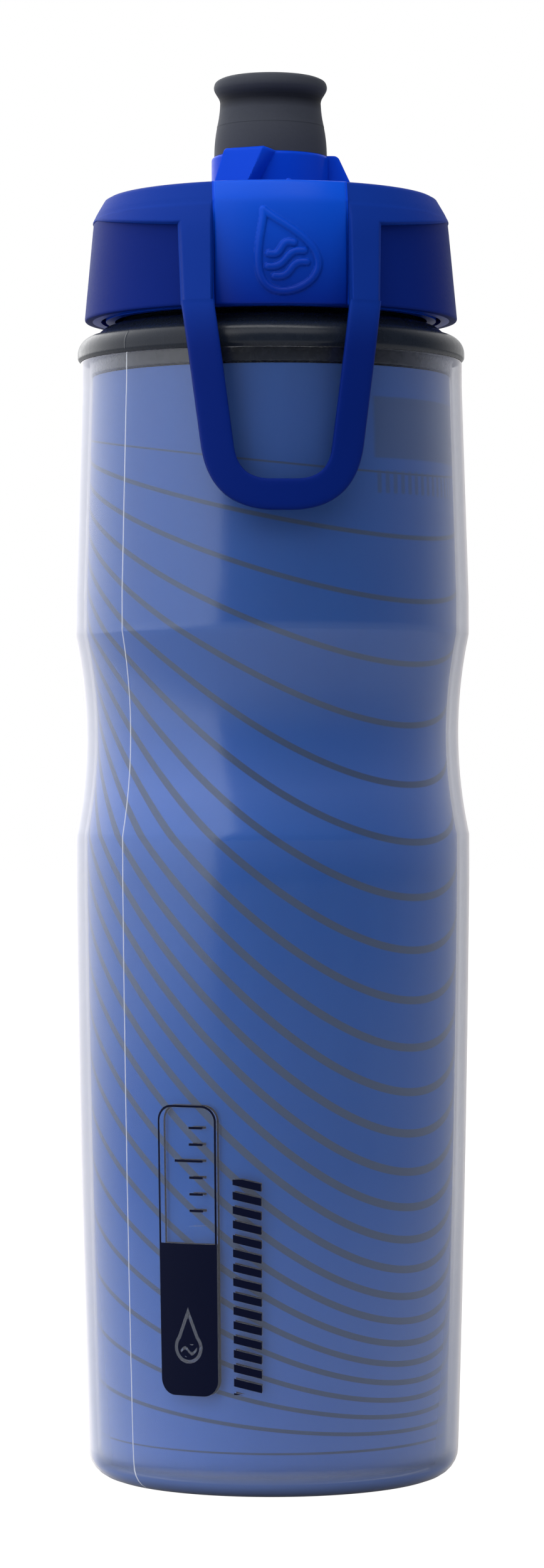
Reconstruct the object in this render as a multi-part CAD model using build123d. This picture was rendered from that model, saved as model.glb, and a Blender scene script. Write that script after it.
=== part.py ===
from build123d import *
import os
from math import cos, radians, sin

# Insulated squeeze bottle with a screw lid, a twist-lock spout and a soft finger loop.
# Millimetres, +Z up. The origin is where the bottle's axis meets the table, and the
# front of the lid, with its panel and loop, faces -Y.

# ---- Outer shell, from the table up
foot_radius = 34.7
ring_corner = 5.0
barrel_bulge = 0.27
barrel_radius = 37.0
lower_barrel_height = 111.6
lower_land_height = 8.3
waist_height = 37.4
waist_depth = 2.0
upper_land_height = 7.2
taper_height = 39.0
rim_height = 4.8
rim_radius = 35.8
shell_wall = 1.8
push_up_radius = 22.0
push_up_height = 3.0
push_up_slope = 4.0
seam_angle = -140.5
base_notch_width = 3.0
base_notch_depth = 0.35
base_notch_length = 5.0

# ---- Insulation sleeve and liner
sleeve_gap = 0.5
sleeve_thickness = 2.0
sleeve_foot_height = 6.0
liner_gap = 0.4
liner_wall = 1.3
liner_corner = 6.0
liner_floor_gap = 0.3
soft_gap = 0.3

# ---- Shoulder and neck of the inner bottle
skirt_depth = 2.6
weld_gap = 0.02
bead_overhang = 0.5
bead_corner = 3.3
bead_side_height = 1.5
bead_lift = 0.6
shoulder_rise = 1.5
shoulder_run = 1.7
shoulder_wall = 2.0
neck_bore_radius = 25.4
neck_wall = 2.0
neck_height = 26.9

# ---- Screw thread between neck and lid
thread_lead = 6.0
thread_turns = 1.5
thread_depth = 1.4
thread_root_width = 2.4
thread_crest_width = 1.3
thread_radial_gap = 0.5
thread_axial_gap = 0.35
thread_embed = 0.5
neck_thread_drop = 4.6

# ---- Lid: hard shell
lid_lift_above_rim = 7.7
lid_side_height = 19.1
lid_bevel_height = 3.7
lid_bottom_radius = 35.0
lid_side_lean = 1.8
lid_bevel_run = 2.2
roof_thickness = 1.8
skirt_wall = 1.7
skirt_groove_width = 0.9
skirt_groove_depth = 8.0
gasket_thickness = 1.4
plug_gap = 0.6
plug_wall = 1.6
plug_depth = 3.0
panel_half_width = 12.3
panel_drop = 0.2
panel_proud = 0.2

# ---- Lid: soft band and loop
band_thickness = 1.5
yoke_ledge_drop = 4.4
arm_top_width = 6.5
arm_bottom_width = 5.8
arm_bottom_proud = 4.0
loop_bead_gap = 0.8
loop_barrel_gap = 0.5
loop_thickness = 3.4
loop_peel_height = 10.0
loop_drop = 37.5
loop_bar_height = 5.6
loop_side_lean = 0.13
loop_outer_corner = 10.5
loop_inner_corner = 4.5
hinge_gap = 0.3

# ---- Twist collar on the lid's hub
hub_bore_radius = 6.6
hub_wall = 2.0
hub_height = 5.2
running_gap = 0.08
collar_radius = 11.1
collar_floor_gap = 0.3
collar_height = 8.2
collar_corner = 0.8
collar_throat_radius = 8.0
tab_count = 3
tab_angle = -118.0
tab_width = 8.0
tab_foot_width = 5.3
tab_foot_reach = 16.0
tab_top_reach = 12.3
front_tab_rise = 1.4
lock_turn = 60.0

# ---- Ports, seals and retaining ring under the collar
port_count = 3
port_circle_radius = 3.3
port_radius = 1.5
pad_thickness = 1.0
slide_gap = 0.05
shutter_thickness = 1.6
shutter_bore_radius = 5.2
shutter_flange_thickness = 1.0
drive_lug_width = 2.0
drive_lug_reach = 0.8
o_ring_cord = 1.0
ring_thickness = 0.7
ring_seat_depth = 0.5
ring_seat_height = 1.3
ring_split_angle = 20.0

# ---- Spout and its slit valve
spout_foot_radius = 10.6
spout_waist_radius = 9.65
spout_bead_radius = 10.7
spout_height = 15.0
spout_bore_radius = 5.6
spout_mouth_radius = 4.6
valve_radius = 6.5
valve_thickness = 1.2
valve_depth = 1.4
valve_slit_length = 7.0
valve_slit_width = 0.2

# ---- Heights and radii that follow from the sizes above
lower_land_z = lower_barrel_height
waist_start_z = lower_land_z + lower_land_height
waist_end_z = waist_start_z + waist_height
taper_start_z = waist_end_z + upper_land_height
rim_start_z = taper_start_z + taper_height
shell_top_z = rim_start_z + rim_height

sleeve_outer_inset = shell_wall + sleeve_gap
sleeve_inner_inset = sleeve_outer_inset + sleeve_thickness
liner_outer_inset = sleeve_inner_inset + liner_gap
liner_inner_inset = liner_outer_inset + liner_wall
skirt_bottom_z = shell_top_z - skirt_depth
sleeve_top_z = skirt_bottom_z - soft_gap
liner_bottom_z = push_up_height + shell_wall + liner_floor_gap

bead_radius = rim_radius + bead_overhang
bead_centre_radius = bead_radius - bead_corner
bead_centre_z = shell_top_z + bead_side_height
crease_z = bead_centre_z + bead_corner
neck_radius = neck_bore_radius + neck_wall
neck_top_z = shell_top_z + neck_height
thread_radius = neck_radius + thread_depth
neck_thread_z = neck_top_z - neck_thread_drop - thread_turns * thread_lead

lid_bore_radius = thread_radius + thread_radial_gap
lid_bottom_z = shell_top_z + lid_lift_above_rim
lid_edge_z = lid_bottom_z + lid_side_height
roof_underside_z = neck_top_z + gasket_thickness
roof_z = roof_underside_z + roof_thickness
lid_edge_radius = lid_bottom_radius - lid_side_lean
lid_top_radius = lid_edge_radius - lid_bevel_run
lid_top_z = lid_edge_z + lid_bevel_height
thread_pitch_width = (thread_root_width + thread_crest_width) / 2
lid_thread_z = neck_thread_z - thread_pitch_width - thread_axial_gap

ledge_z = lid_edge_z - yoke_ledge_drop
ledge_radius = lid_edge_radius + yoke_ledge_drop * lid_bevel_run / lid_bevel_height
arm_bottom_radius = lid_bottom_radius + arm_bottom_proud
loop_top_z = lid_bottom_z - hinge_gap
loop_bottom_z = lid_bottom_z - loop_drop
taper_lean = (barrel_radius - rim_radius) / taper_height
wall_radius_at_loop = barrel_radius - taper_lean * max(0, loop_bottom_z - taper_start_z)
loop_inner_radius = max(bead_radius + loop_bead_gap, wall_radius_at_loop + loop_barrel_gap)
loop_outer_radius = loop_inner_radius + loop_thickness

hub_radius = hub_bore_radius + hub_wall
hub_top_z = roof_z + hub_height
collar_bottom_z = roof_z + collar_floor_gap
collar_top_z = collar_bottom_z + collar_height
collar_bore_radius = hub_radius + running_gap
throat_z = hub_top_z + collar_floor_gap
pad_top_z = roof_z + pad_thickness
shutter_z = pad_top_z + slide_gap
shutter_radius = hub_bore_radius - running_gap
shutter_top_z = throat_z + shutter_flange_thickness
ring_seat_z = roof_z + ring_seat_height
o_ring_z = hub_top_z - o_ring_cord * 1.3
o_ring_radius = collar_bore_radius - running_gap / 4
o_ring_seat_radius = o_ring_radius - o_ring_cord - weld_gap

spout_top_z = collar_top_z + spout_height
valve_top_z = spout_top_z - valve_depth


def rz(radius, height):
    """A point of a half section: distance from the axis, then height above the table."""
    return (radius, 0, height)


def turned(edges):
    """The solid of revolution whose closed half section is made of these edges."""
    return revolve(Face(Wire(edges)), Axis.Z)


def ring(*corners):
    """A solid of revolution from (radius, height) corners, or (radius, height, fillet)."""
    points = [rz(corner[0], corner[1]) for corner in corners]
    fillets = [corner[2] if len(corner) > 2 else 0 for corner in corners]
    return turned(FilletPolyline(*points, radius=fillets, close=True).edges())


def tube(outer, inner, bottom, top):
    """A plain tube between two heights."""
    return ring((inner, bottom), (outer, bottom), (outer, top), (inner, top))


def disc(radius, bottom, top):
    """A plain round disc between two heights."""
    return Pos(0, 0, bottom) * Cylinder(
        radius, top - bottom, align=(Align.CENTER, Align.CENTER, Align.MIN)
    )


def corner_arc(centre_radius, centre_z, size, start_angle, stop_angle):
    """A round corner of a half section: 0 degrees points outwards, 90 points up."""
    angles = (start_angle, (start_angle + stop_angle) / 2, stop_angle)
    points = [
        rz(centre_radius + size * cos(radians(a)), centre_z + size * sin(radians(a)))
        for a in angles
    ]
    return ThreePointArc(*points)


def around(count, radius, start_angle=0.0):
    """Places spaced evenly round the axis, each turned to face outwards."""
    return PolarLocations(radius, count, start_angle=start_angle).locations


def barrel_radius_at(height):
    """Outer radius of the lower barrel, which bulges a little from foot to grip land."""
    run = (height - ring_corner) / (lower_land_z - ring_corner)
    straight = foot_radius + (barrel_radius - foot_radius) * run
    return straight + 4 * barrel_bulge * run * (1 - run)


def barrel_side(inset, bottom, top):
    """Edges up the barrel, waist and taper, at a constant inset from the outer wall."""
    middle = (bottom + lower_land_z) / 2
    land_radius = barrel_radius - inset
    waist_radius = land_radius - waist_depth
    waist_middle_z = (waist_start_z + waist_end_z) / 2
    return [
        ThreePointArc(
            rz(barrel_radius_at(bottom) - inset, bottom),
            rz(barrel_radius_at(middle) - inset, middle),
            rz(land_radius, lower_land_z),
        ),
        Line(rz(land_radius, lower_land_z), rz(land_radius, waist_start_z)),
        ThreePointArc(
            rz(land_radius, waist_start_z),
            rz(waist_radius, waist_middle_z),
            rz(land_radius, waist_end_z),
        ),
        Line(rz(land_radius, waist_end_z), rz(land_radius, taper_start_z)),
        Line(rz(land_radius, taper_start_z), rz(rim_radius - inset, rim_start_z)),
        Line(rz(rim_radius - inset, rim_start_z), rz(rim_radius - inset, top)),
    ]


def outer_shell():
    """The squeeze wall: standing ring, pushed-up base, grip waist and plain rim."""
    ring_radius = foot_radius - ring_corner
    top_radius = push_up_radius - push_up_slope
    inner_rim_radius = rim_radius - shell_wall
    base_outside = Polyline(
        rz(0, push_up_height),
        rz(top_radius, push_up_height),
        rz(push_up_radius, 0),
        rz(ring_radius, 0),
    )
    base_inside = Polyline(
        rz(0, push_up_height + shell_wall),
        rz(top_radius, push_up_height + shell_wall),
        rz(push_up_radius, shell_wall),
        rz(ring_radius, shell_wall),
    )
    wall = [
        *base_outside.edges(),
        corner_arc(ring_radius, ring_corner, ring_corner, -90, 0),
        *barrel_side(0, ring_corner, shell_top_z),
        Line(rz(rim_radius, shell_top_z), rz(inner_rim_radius, shell_top_z)),
        *barrel_side(shell_wall, ring_corner, shell_top_z),
        corner_arc(ring_radius, ring_corner, ring_corner - shell_wall, -90, 0),
        *base_inside.edges(),
        Line(rz(0, push_up_height), rz(0, push_up_height + shell_wall)),
    ]
    notch = Box(base_notch_length, base_notch_width, 2 * base_notch_depth)
    notches = [place * notch for place in around(2, ring_radius, seam_angle)]
    return turned(wall) - notches


def insulation_sleeve():
    """The foil-faced foam wrap between shell and liner, open at both ends."""
    outer_foot = barrel_radius_at(sleeve_foot_height) - sleeve_outer_inset
    inner_foot = barrel_radius_at(sleeve_foot_height) - sleeve_inner_inset
    return turned(
        [
            *barrel_side(sleeve_outer_inset, sleeve_foot_height, sleeve_top_z),
            *barrel_side(sleeve_inner_inset, sleeve_foot_height, sleeve_top_z),
            Line(rz(outer_foot, sleeve_foot_height), rz(inner_foot, sleeve_foot_height)),
            Line(
                rz(rim_radius - sleeve_outer_inset, sleeve_top_z),
                rz(rim_radius - sleeve_inner_inset, sleeve_top_z),
            ),
        ]
    )


def thread_ridge(root_radius, crest_radius, start_z):
    """A right-handed ridge of trapezoid section that climbs one lead in each turn."""
    half_root = thread_root_width / 2
    half_crest = thread_crest_width / 2
    section = Polyline(
        rz(root_radius, -half_root),
        rz(crest_radius, -half_crest),
        rz(crest_radius, half_crest),
        rz(root_radius, half_root),
        close=True,
    )
    climb = Helix(thread_lead, thread_lead * thread_turns, root_radius)
    return Pos(0, 0, start_z) * sweep(Face(Wire(section.edges())), climb, is_frenet=True)


def inner_bottle():
    """Liner, welded shoulder bead and threaded neck in one blow moulding."""
    side_z = liner_bottom_z + liner_corner
    outer_side = barrel_radius_at(side_z) - liner_outer_inset
    corner_radius = outer_side - liner_corner
    inner_corner = liner_corner - liner_wall
    floor_z = liner_bottom_z + liner_wall
    liner_radius = rim_radius - liner_outer_inset
    liner_bore = rim_radius - liner_inner_inset
    skirt_radius = rim_radius - shell_wall - weld_gap
    step_z = skirt_bottom_z + liner_wall
    foot_z = crease_z + shoulder_rise
    shoulder_outside = FilletPolyline(
        rz(bead_centre_radius, crease_z),
        rz(bead_centre_radius - shoulder_run, foot_z),
        rz(neck_radius + shoulder_wall / 2, foot_z + shoulder_wall / 2),
        rz(neck_radius, foot_z + shoulder_wall),
        rz(neck_radius, neck_top_z),
        radius=[0.6, 0.5, 0.5],
    )
    shoulder_inside = FilletPolyline(
        rz(liner_bore, step_z),
        rz(bead_centre_radius, bead_centre_z),
        rz(bead_centre_radius - shoulder_wall, crease_z - shoulder_wall),
        rz(neck_bore_radius, foot_z + shoulder_wall / 2),
        rz(neck_bore_radius, neck_top_z),
        radius=[0.8, 1.5, 0.8],
    )
    bead_underside = Polyline(
        rz(liner_radius, skirt_bottom_z),
        rz(skirt_radius, skirt_bottom_z),
        rz(skirt_radius, shell_top_z),
        rz(rim_radius, shell_top_z),
        rz(bead_radius, shell_top_z + bead_lift),
        rz(bead_radius, bead_centre_z),
    )
    wall = [
        Line(rz(0, liner_bottom_z), rz(corner_radius, liner_bottom_z)),
        corner_arc(corner_radius, side_z, liner_corner, -90, 0),
        *barrel_side(liner_outer_inset, side_z, skirt_bottom_z),
        *bead_underside.edges(),
        corner_arc(bead_centre_radius, bead_centre_z, bead_corner, 0, 90),
        *shoulder_outside.edges(),
        Line(rz(neck_radius, neck_top_z), rz(neck_bore_radius, neck_top_z)),
        *shoulder_inside.edges(),
        *barrel_side(liner_inner_inset, side_z, step_z),
        corner_arc(corner_radius, side_z, inner_corner, -90, 0),
        Line(rz(0, floor_z), rz(corner_radius, floor_z)),
        Line(rz(0, liner_bottom_z), rz(0, floor_z)),
    ]
    thread = thread_ridge(neck_radius - thread_embed, thread_radius, neck_thread_z)
    return turned(wall) + thread


def lid_outline(offset):
    """Corners of the lid's side and bevel, from the bottom up, moved in by the offset."""
    return [
        (lid_bottom_radius - offset, lid_bottom_z),
        (lid_edge_radius - offset, lid_edge_z),
        (lid_top_radius - offset, lid_top_z),
    ]


def front_window(half_width, bottom):
    """A block over the front of the lid, between the band's two arms."""
    block = Box(
        2 * half_width,
        2 * lid_bottom_radius,
        lid_top_z - bottom,
        align=(Align.CENTER, Align.MAX, Align.MIN),
    )
    return Pos(0, 0, bottom) * block


def port_holes(bottom, top, start_angle):
    """The flow ports, drilled on a small circle round the axis."""
    drill = disc(port_radius, bottom, top)
    return [place * drill for place in around(port_count, port_circle_radius, start_angle)]


def front_panel():
    """The glossy pad of the lid that shows between the arms, proud of the side."""
    side, edge, top = lid_outline(-panel_proud)
    core_side, core_edge, core_top = lid_outline(band_thickness + skirt_wall / 2)
    pad = ring(
        (core_side[0], lid_bottom_z - panel_drop),
        (side[0], lid_bottom_z - panel_drop, 0.3),
        (edge[0], edge[1], 1.2),
        (top[0], top[1], 0.5),
        core_top,
        core_edge,
    )
    return pad & front_window(panel_half_width, lid_bottom_z - panel_drop)


def lid_shell():
    """The hard screw lid: skirt, roof with ports, plug ring, hub and front panel."""
    side, edge, top = lid_outline(band_thickness)
    groove_inner = lid_bore_radius + skirt_wall
    groove_outer = groove_inner + skirt_groove_width
    groove_top_z = lid_bottom_z + skirt_groove_depth
    plug_radius = neck_bore_radius - plug_gap
    plug_z = roof_underside_z - plug_depth
    lid = ring(
        side,
        edge,
        (top[0], lid_top_z),
        (top[0] - band_thickness, lid_top_z),
        (top[0] - 1.5 * band_thickness, roof_z),
        (hub_radius, roof_z, 0.4),
        (hub_radius, hub_top_z, 0.3),
        (hub_bore_radius, hub_top_z),
        (hub_bore_radius, roof_z),
        (0, roof_z),
        (0, roof_underside_z),
        (plug_radius - plug_wall, roof_underside_z, 0.3),
        (plug_radius - plug_wall, plug_z),
        (plug_radius, plug_z, 0.5),
        (plug_radius, roof_underside_z),
        (lid_bore_radius, roof_underside_z),
        (lid_bore_radius, lid_bottom_z),
        (groove_inner, lid_bottom_z),
        (groove_inner, groove_top_z, 0.3),
        (groove_outer, groove_top_z, 0.3),
        (groove_outer, lid_bottom_z),
    )
    o_ring_half = o_ring_cord / 2 + running_gap
    ring_half = ring_thickness / 2 + running_gap
    o_ring_seat = tube(
        hub_radius + 1, o_ring_seat_radius, o_ring_z - o_ring_half, o_ring_z + o_ring_half
    )
    ring_seat = tube(
        hub_radius + 1, hub_radius - ring_seat_depth, ring_seat_z - ring_half, ring_seat_z + ring_half
    )
    thread = thread_ridge(
        lid_bore_radius + thread_embed, neck_radius + thread_radial_gap, lid_thread_z
    )
    ports = port_holes(roof_underside_z, roof_z, 0)
    return lid + front_panel() + thread - [o_ring_seat, ring_seat, *ports]


def lid_gasket():
    """The flat ring that the lid presses on the neck's rim."""
    inner = neck_bore_radius - plug_gap + running_gap
    outer = lid_bore_radius - running_gap
    return tube(outer, inner, neck_top_z, roof_underside_z)


def arm_strip(side):
    """The upright strip of one arm, seen from the front, reaching back through the lid."""
    corners = [
        (side * panel_half_width, lid_bottom_z),
        (side * (panel_half_width + arm_bottom_width), lid_bottom_z),
        (side * (panel_half_width + arm_top_width), lid_top_z),
        (side * panel_half_width, lid_top_z),
    ]
    face = make_face(Plane.XZ * Polyline(*corners, close=True))
    return extrude(face, amount=arm_bottom_radius, dir=(0, -1, 0))


def above_ledge():
    """The space over the sloping ledge, which drops from the lid's sides to its front."""
    slope = yoke_ledge_drop / (ledge_radius - panel_half_width / 2)
    reach = 2 * lid_bottom_radius
    corners = [
        (0, lid_edge_z),
        (-reach, lid_edge_z - slope * reach),
        (-reach, lid_top_z),
        (0, lid_top_z),
    ]
    face = make_face(Plane.YZ * Polyline(*corners, close=True))
    return extrude(face, amount=reach, both=True)


def grip_band():
    """The soft band round the lid, with its raised yoke and the two front arms."""
    side, edge, top = lid_outline(0)
    core_side, core_edge, core_top = lid_outline(band_thickness)
    band = ring(side, edge, (top[0], top[1], 0.5), core_top, core_edge, core_side)
    proud = ring(
        core_side,
        (arm_bottom_radius, lid_bottom_z),
        (ledge_radius, ledge_z, 1.5),
        edge,
        core_edge,
    )
    yoke = proud & (above_ledge() + arm_strip(-1) + arm_strip(1))
    return band + yoke - front_window(panel_half_width, lid_bottom_z)


def loop_outline(half_width, bottom, corner):
    """A U that narrows downwards, seen from the front, closed across its top."""
    foot = half_width - loop_side_lean * (loop_top_z - bottom)
    outline = Plane.XZ * FilletPolyline(
        (-half_width, loop_top_z),
        (-foot, bottom),
        (foot, bottom),
        (half_width, loop_top_z),
        radius=[corner, corner],
    )
    lid_line = Plane.XZ * Line((-half_width, loop_top_z), (half_width, loop_top_z))
    face = make_face([*outline.edges(), *lid_line.edges()])
    return extrude(face, amount=2 * loop_outer_radius, dir=(0, -1, 0))


def carry_loop():
    """The finger loop: a strap that hangs from the arms and curves round the bottle."""
    peel_z = lid_bottom_z - loop_peel_height
    strap = ring(
        (lid_bottom_radius + hinge_gap, loop_top_z),
        (arm_bottom_radius, loop_top_z),
        (loop_outer_radius, peel_z, 20),
        (loop_outer_radius, loop_bottom_z),
        (loop_inner_radius, loop_bottom_z),
        (loop_inner_radius, bead_centre_z, 5),
    )
    outer = loop_outline(panel_half_width + arm_bottom_width, loop_bottom_z, loop_outer_corner)
    inner = loop_outline(panel_half_width, loop_bottom_z + loop_bar_height, loop_inner_corner)
    return strap & (outer - inner)


def finger_tab(rise):
    """A wedge that leans out from the collar, with one upright and one slanting flank."""
    top = collar_top_z - collar_corner + rise
    lean = Plane.XZ * Polyline(
        (collar_bore_radius + 1, collar_bottom_z),
        (tab_foot_reach, collar_bottom_z),
        (tab_top_reach, top),
        (collar_bore_radius + 1, top),
        close=True,
    )
    flank = Plane.YZ * Polyline(
        (-tab_width / 2, collar_bottom_z),
        (tab_foot_width - tab_width / 2, collar_bottom_z),
        (tab_width / 2, top),
        (-tab_width / 2, top),
        close=True,
    )
    wedge = extrude(make_face(lean), amount=tab_width, both=True)
    return wedge & extrude(make_face(flank), amount=tab_foot_reach)


def drive_lugs(width, reach, bottom, top):
    """Blocks at the edge of the shutter's flange, one for each port."""
    length = reach - collar_throat_radius + 1
    block = Box(length, width, top - bottom, align=(Align.MAX, Align.CENTER, Align.MIN))
    places = around(port_count, reach, tab_angle)
    return [Pos(0, 0, bottom) * place * block for place in places]


def twist_collar():
    """The lock collar: a ring with finger tabs, a snap groove and notches for the shutter."""
    body = ring(
        (collar_bore_radius, collar_bottom_z, 0.3),
        (collar_radius, collar_bottom_z, 0.3),
        (collar_radius, collar_top_z, collar_corner),
        (collar_throat_radius, collar_top_z),
        (collar_throat_radius, throat_z),
        (collar_bore_radius, throat_z),
    )
    tabs = [
        Rot(0, 0, tab_angle + index * 360 / tab_count)
        * finger_tab(front_tab_rise if index == 0 else 0)
        for index in range(tab_count)
    ]
    ring_half = ring_thickness / 2 + running_gap
    snap_groove = tube(
        collar_bore_radius + ring_seat_depth,
        collar_bore_radius - 1,
        ring_seat_z - ring_half,
        ring_seat_z + ring_half,
    )
    spout_seat = disc(spout_foot_radius + running_gap, collar_top_z, spout_top_z)
    notch_reach = collar_throat_radius + drive_lug_reach + running_gap
    notch_width = drive_lug_width + 2 * running_gap
    notches = drive_lugs(notch_width, notch_reach, throat_z, shutter_top_z)
    return body + tabs - [snap_groove, spout_seat, *notches]


def port_gasket():
    """The soft ported pad on the lid's roof inside the hub."""
    pad = disc(hub_bore_radius - running_gap, roof_z, pad_top_z)
    return pad - port_holes(roof_z, pad_top_z, 0)


def shutter_disc():
    """The ported disc, tube and flange that the collar turns over the fixed ports."""
    bore_z = shutter_z + shutter_thickness
    flange_radius = collar_throat_radius - running_gap
    shutter = ring(
        (0, shutter_z),
        (shutter_radius, shutter_z, 0.2),
        (shutter_radius, throat_z),
        (flange_radius, throat_z),
        (flange_radius, shutter_top_z),
        (shutter_bore_radius, shutter_top_z),
        (shutter_bore_radius, bore_z),
        (0, bore_z),
    )
    lug_reach = collar_throat_radius + drive_lug_reach
    lugs = drive_lugs(drive_lug_width, lug_reach, throat_z, shutter_top_z)
    return shutter + lugs - port_holes(shutter_z, bore_z, lock_turn)


def collar_o_ring():
    """The ring that seals the collar's bore on the hub."""
    section_radius = o_ring_cord / 2
    return Pos(0, 0, o_ring_z) * Torus(o_ring_radius - section_radius, section_radius)


def retaining_ring():
    """The split snap ring that keeps the collar on the hub."""
    inner = hub_radius - ring_seat_depth + running_gap
    outer = collar_bore_radius + ring_seat_depth - running_gap
    whole = tube(outer, inner, ring_seat_z - ring_thickness / 2, ring_seat_z + ring_thickness / 2)
    split_width = outer * radians(ring_split_angle)
    split = Pos(outer, 0, ring_seat_z) * Box(outer, split_width, 2 * ring_thickness)
    return whole - split


def spout():
    """The soft mouthpiece: seat, slim waist, bite bead and an open mouth over the valve."""
    bead_height = 3.0
    spigot_radius = collar_throat_radius - running_gap
    waist_z = spout_top_z - 2 * bead_height
    valve_bottom_z = valve_top_z - valve_thickness
    return ring(
        (spout_foot_radius, collar_top_z),
        (spout_foot_radius - 0.3, collar_top_z + spout_height / 3, 8),
        (spout_waist_radius, waist_z, 3),
        (spout_waist_radius + 0.2, spout_top_z - bead_height - 0.1, 0.6),
        (spout_bead_radius, spout_top_z - bead_height, 0.5),
        (spout_bead_radius, spout_top_z - 1.3, 0.9),
        (spout_bead_radius - 2.2, spout_top_z, 1.5),
        (spout_mouth_radius, spout_top_z - 0.4, 0.3),
        (spout_mouth_radius, valve_top_z),
        (valve_radius + running_gap, valve_top_z),
        (valve_radius + running_gap, valve_bottom_z),
        (spout_bore_radius, valve_bottom_z),
        (spout_bore_radius, collar_top_z),
        (shutter_bore_radius, collar_top_z - 0.4),
        (shutter_bore_radius, shutter_top_z),
        (spigot_radius, shutter_top_z),
        (spigot_radius, collar_top_z),
    )


def spout_valve():
    """The self-sealing diaphragm with two crossed slits."""
    half_slit = valve_slit_length / 2
    bottom_z = valve_top_z - valve_thickness
    diaphragm = disc(valve_radius, bottom_z, valve_top_z)
    slit = Pos(0, 0, valve_top_z) * Box(2 * half_slit, valve_slit_width, 4 * valve_thickness)
    return diaphragm - slit - Rot(0, 0, 90) * slit


def main():
    """Writes each piece of the bottle to its own STEP file."""
    pieces = [
        outer_shell,
        insulation_sleeve,
        inner_bottle,
        lid_shell,
        lid_gasket,
        grip_band,
        carry_loop,
        twist_collar,
        port_gasket,
        shutter_disc,
        collar_o_ring,
        retaining_ring,
        spout,
        spout_valve,
    ]
    os.makedirs("parts", exist_ok=True)
    for piece in pieces:
        export_step(piece(), f"parts/{piece.__name__}.step")


main()
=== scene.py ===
"""Insulated squeeze bottle: frosted shell over a striped foil sleeve, dark liner with a threaded
neck, blue screw lid with a soft band and finger loop, twist collar and soft spout.
"""

import math

import bmesh
import bpy
import numpy as np
from bpy.props import FloatProperty, FloatVectorProperty, IntProperty, PointerProperty
from mathutils import Matrix, Vector


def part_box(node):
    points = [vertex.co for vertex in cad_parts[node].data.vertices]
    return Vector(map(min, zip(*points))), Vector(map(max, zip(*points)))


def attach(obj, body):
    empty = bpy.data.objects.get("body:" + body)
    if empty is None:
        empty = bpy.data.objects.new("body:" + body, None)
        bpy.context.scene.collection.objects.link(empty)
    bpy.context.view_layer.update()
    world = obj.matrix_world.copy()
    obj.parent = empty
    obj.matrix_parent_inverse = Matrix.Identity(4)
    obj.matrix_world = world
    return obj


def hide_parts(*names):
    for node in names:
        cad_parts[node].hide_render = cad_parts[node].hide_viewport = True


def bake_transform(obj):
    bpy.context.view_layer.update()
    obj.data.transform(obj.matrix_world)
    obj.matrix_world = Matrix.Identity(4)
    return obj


bl_info = {
    "name": "Insulated squeeze bottle",
    "version": (1, 0, 0),
    "blender": (4, 5, 0),
    "location": "View3D > Sidebar > Bottle",
    "description": "Builds the visible pieces of an insulated squeeze bottle on its solid model",
    "category": "Add Mesh",
}

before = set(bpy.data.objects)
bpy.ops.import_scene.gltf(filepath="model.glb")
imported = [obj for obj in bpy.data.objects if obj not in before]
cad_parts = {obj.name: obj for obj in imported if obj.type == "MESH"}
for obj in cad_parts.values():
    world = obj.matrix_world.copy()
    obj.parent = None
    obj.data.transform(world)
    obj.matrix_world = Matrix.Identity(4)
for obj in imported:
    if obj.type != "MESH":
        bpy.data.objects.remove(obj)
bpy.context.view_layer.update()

MM = 0.001
DEGREE = math.pi / 180
FINISH_PREFIX = "finish_"


# ---- Sizes and colours that a user would change


def length(description, default):
    """A size in metres, shown in the scene's units."""
    return FloatProperty(description=description, default=default, unit="LENGTH", precision=5)


def turn(description, default):
    """An angle in radians, shown in degrees."""
    return FloatProperty(description=description, default=default, subtype="ANGLE")


def colour(description, default):
    """A colour, written in linear values."""
    return FloatVectorProperty(
        description=description, default=default, size=3, subtype="COLOR", min=0, max=1
    )


class BarrelSizes(bpy.types.PropertyGroup):
    """The shell, the foil sleeve inside it and the liner with its neck."""

    foot_radius: length("Shell radius just above the foot", 34.7 * MM)
    foot_corner: length("Radius of the corner round the base", 5 * MM)
    grip_radius: length("Shell radius at the two lands beside the waist", 37 * MM)
    rim_radius: length("Shell radius at its top", 35.8 * MM)
    bulge: length("How far the lower barrel bows outwards", 0.27 * MM)
    grip_height: length("Height of the lower land's foot", 111.6 * MM)
    waist_start: length("Height where the waist begins", 119.9 * MM)
    waist_end: length("Height where the waist ends", 157.3 * MM)
    waist_depth: length("How far the waist is drawn in", 2 * MM)
    taper_start: length("Height where the shell starts to narrow", 164.5 * MM)
    rim_start: length("Height where the narrowing stops", 203.5 * MM)
    shell_top: length("Height of the shell's rim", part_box("outer_shell")[1].z)
    wall: length("Thickness of the shell", 1.8 * MM)
    push_up: length("How high the base is pushed up inside", 3 * MM)
    seam_angle: turn("Where the mould's parting line runs", -140.5 * DEGREE)
    seam_width: length("Width of the parting line", 0.5 * MM)
    seam_rise: length("Height of the parting line", 0.14 * MM)
    foil_inset: length("Distance from the shell's outside to the foil", 2.3 * MM)
    foil_depth: length("Thickness of the foam-backed foil", 2 * MM)
    foil_top: length("Height of the sleeve's upper edge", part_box("insulation_sleeve")[1].z)
    liner_inset: length("Distance from the shell's outside to the liner", 4.7 * MM)
    liner_wall: length("Thickness of the liner", 1.3 * MM)
    bead_radius: length("Radius of the shoulder bead", 36.3 * MM)
    bead_corner: length("Radius of the bead's upper corner", 3.3 * MM)
    neck_bore: length("Inside radius of the neck", 25.4 * MM)
    neck_radius: length("Outside radius of the neck", 27.4 * MM)
    neck_top: length("Height of the neck's rim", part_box("inner_bottle")[1].z)
    thread_crest: length("Radius over the neck's thread", 28.8 * MM)
    thread_lead: length("Climb of the thread in one turn", 6 * MM)


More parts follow.
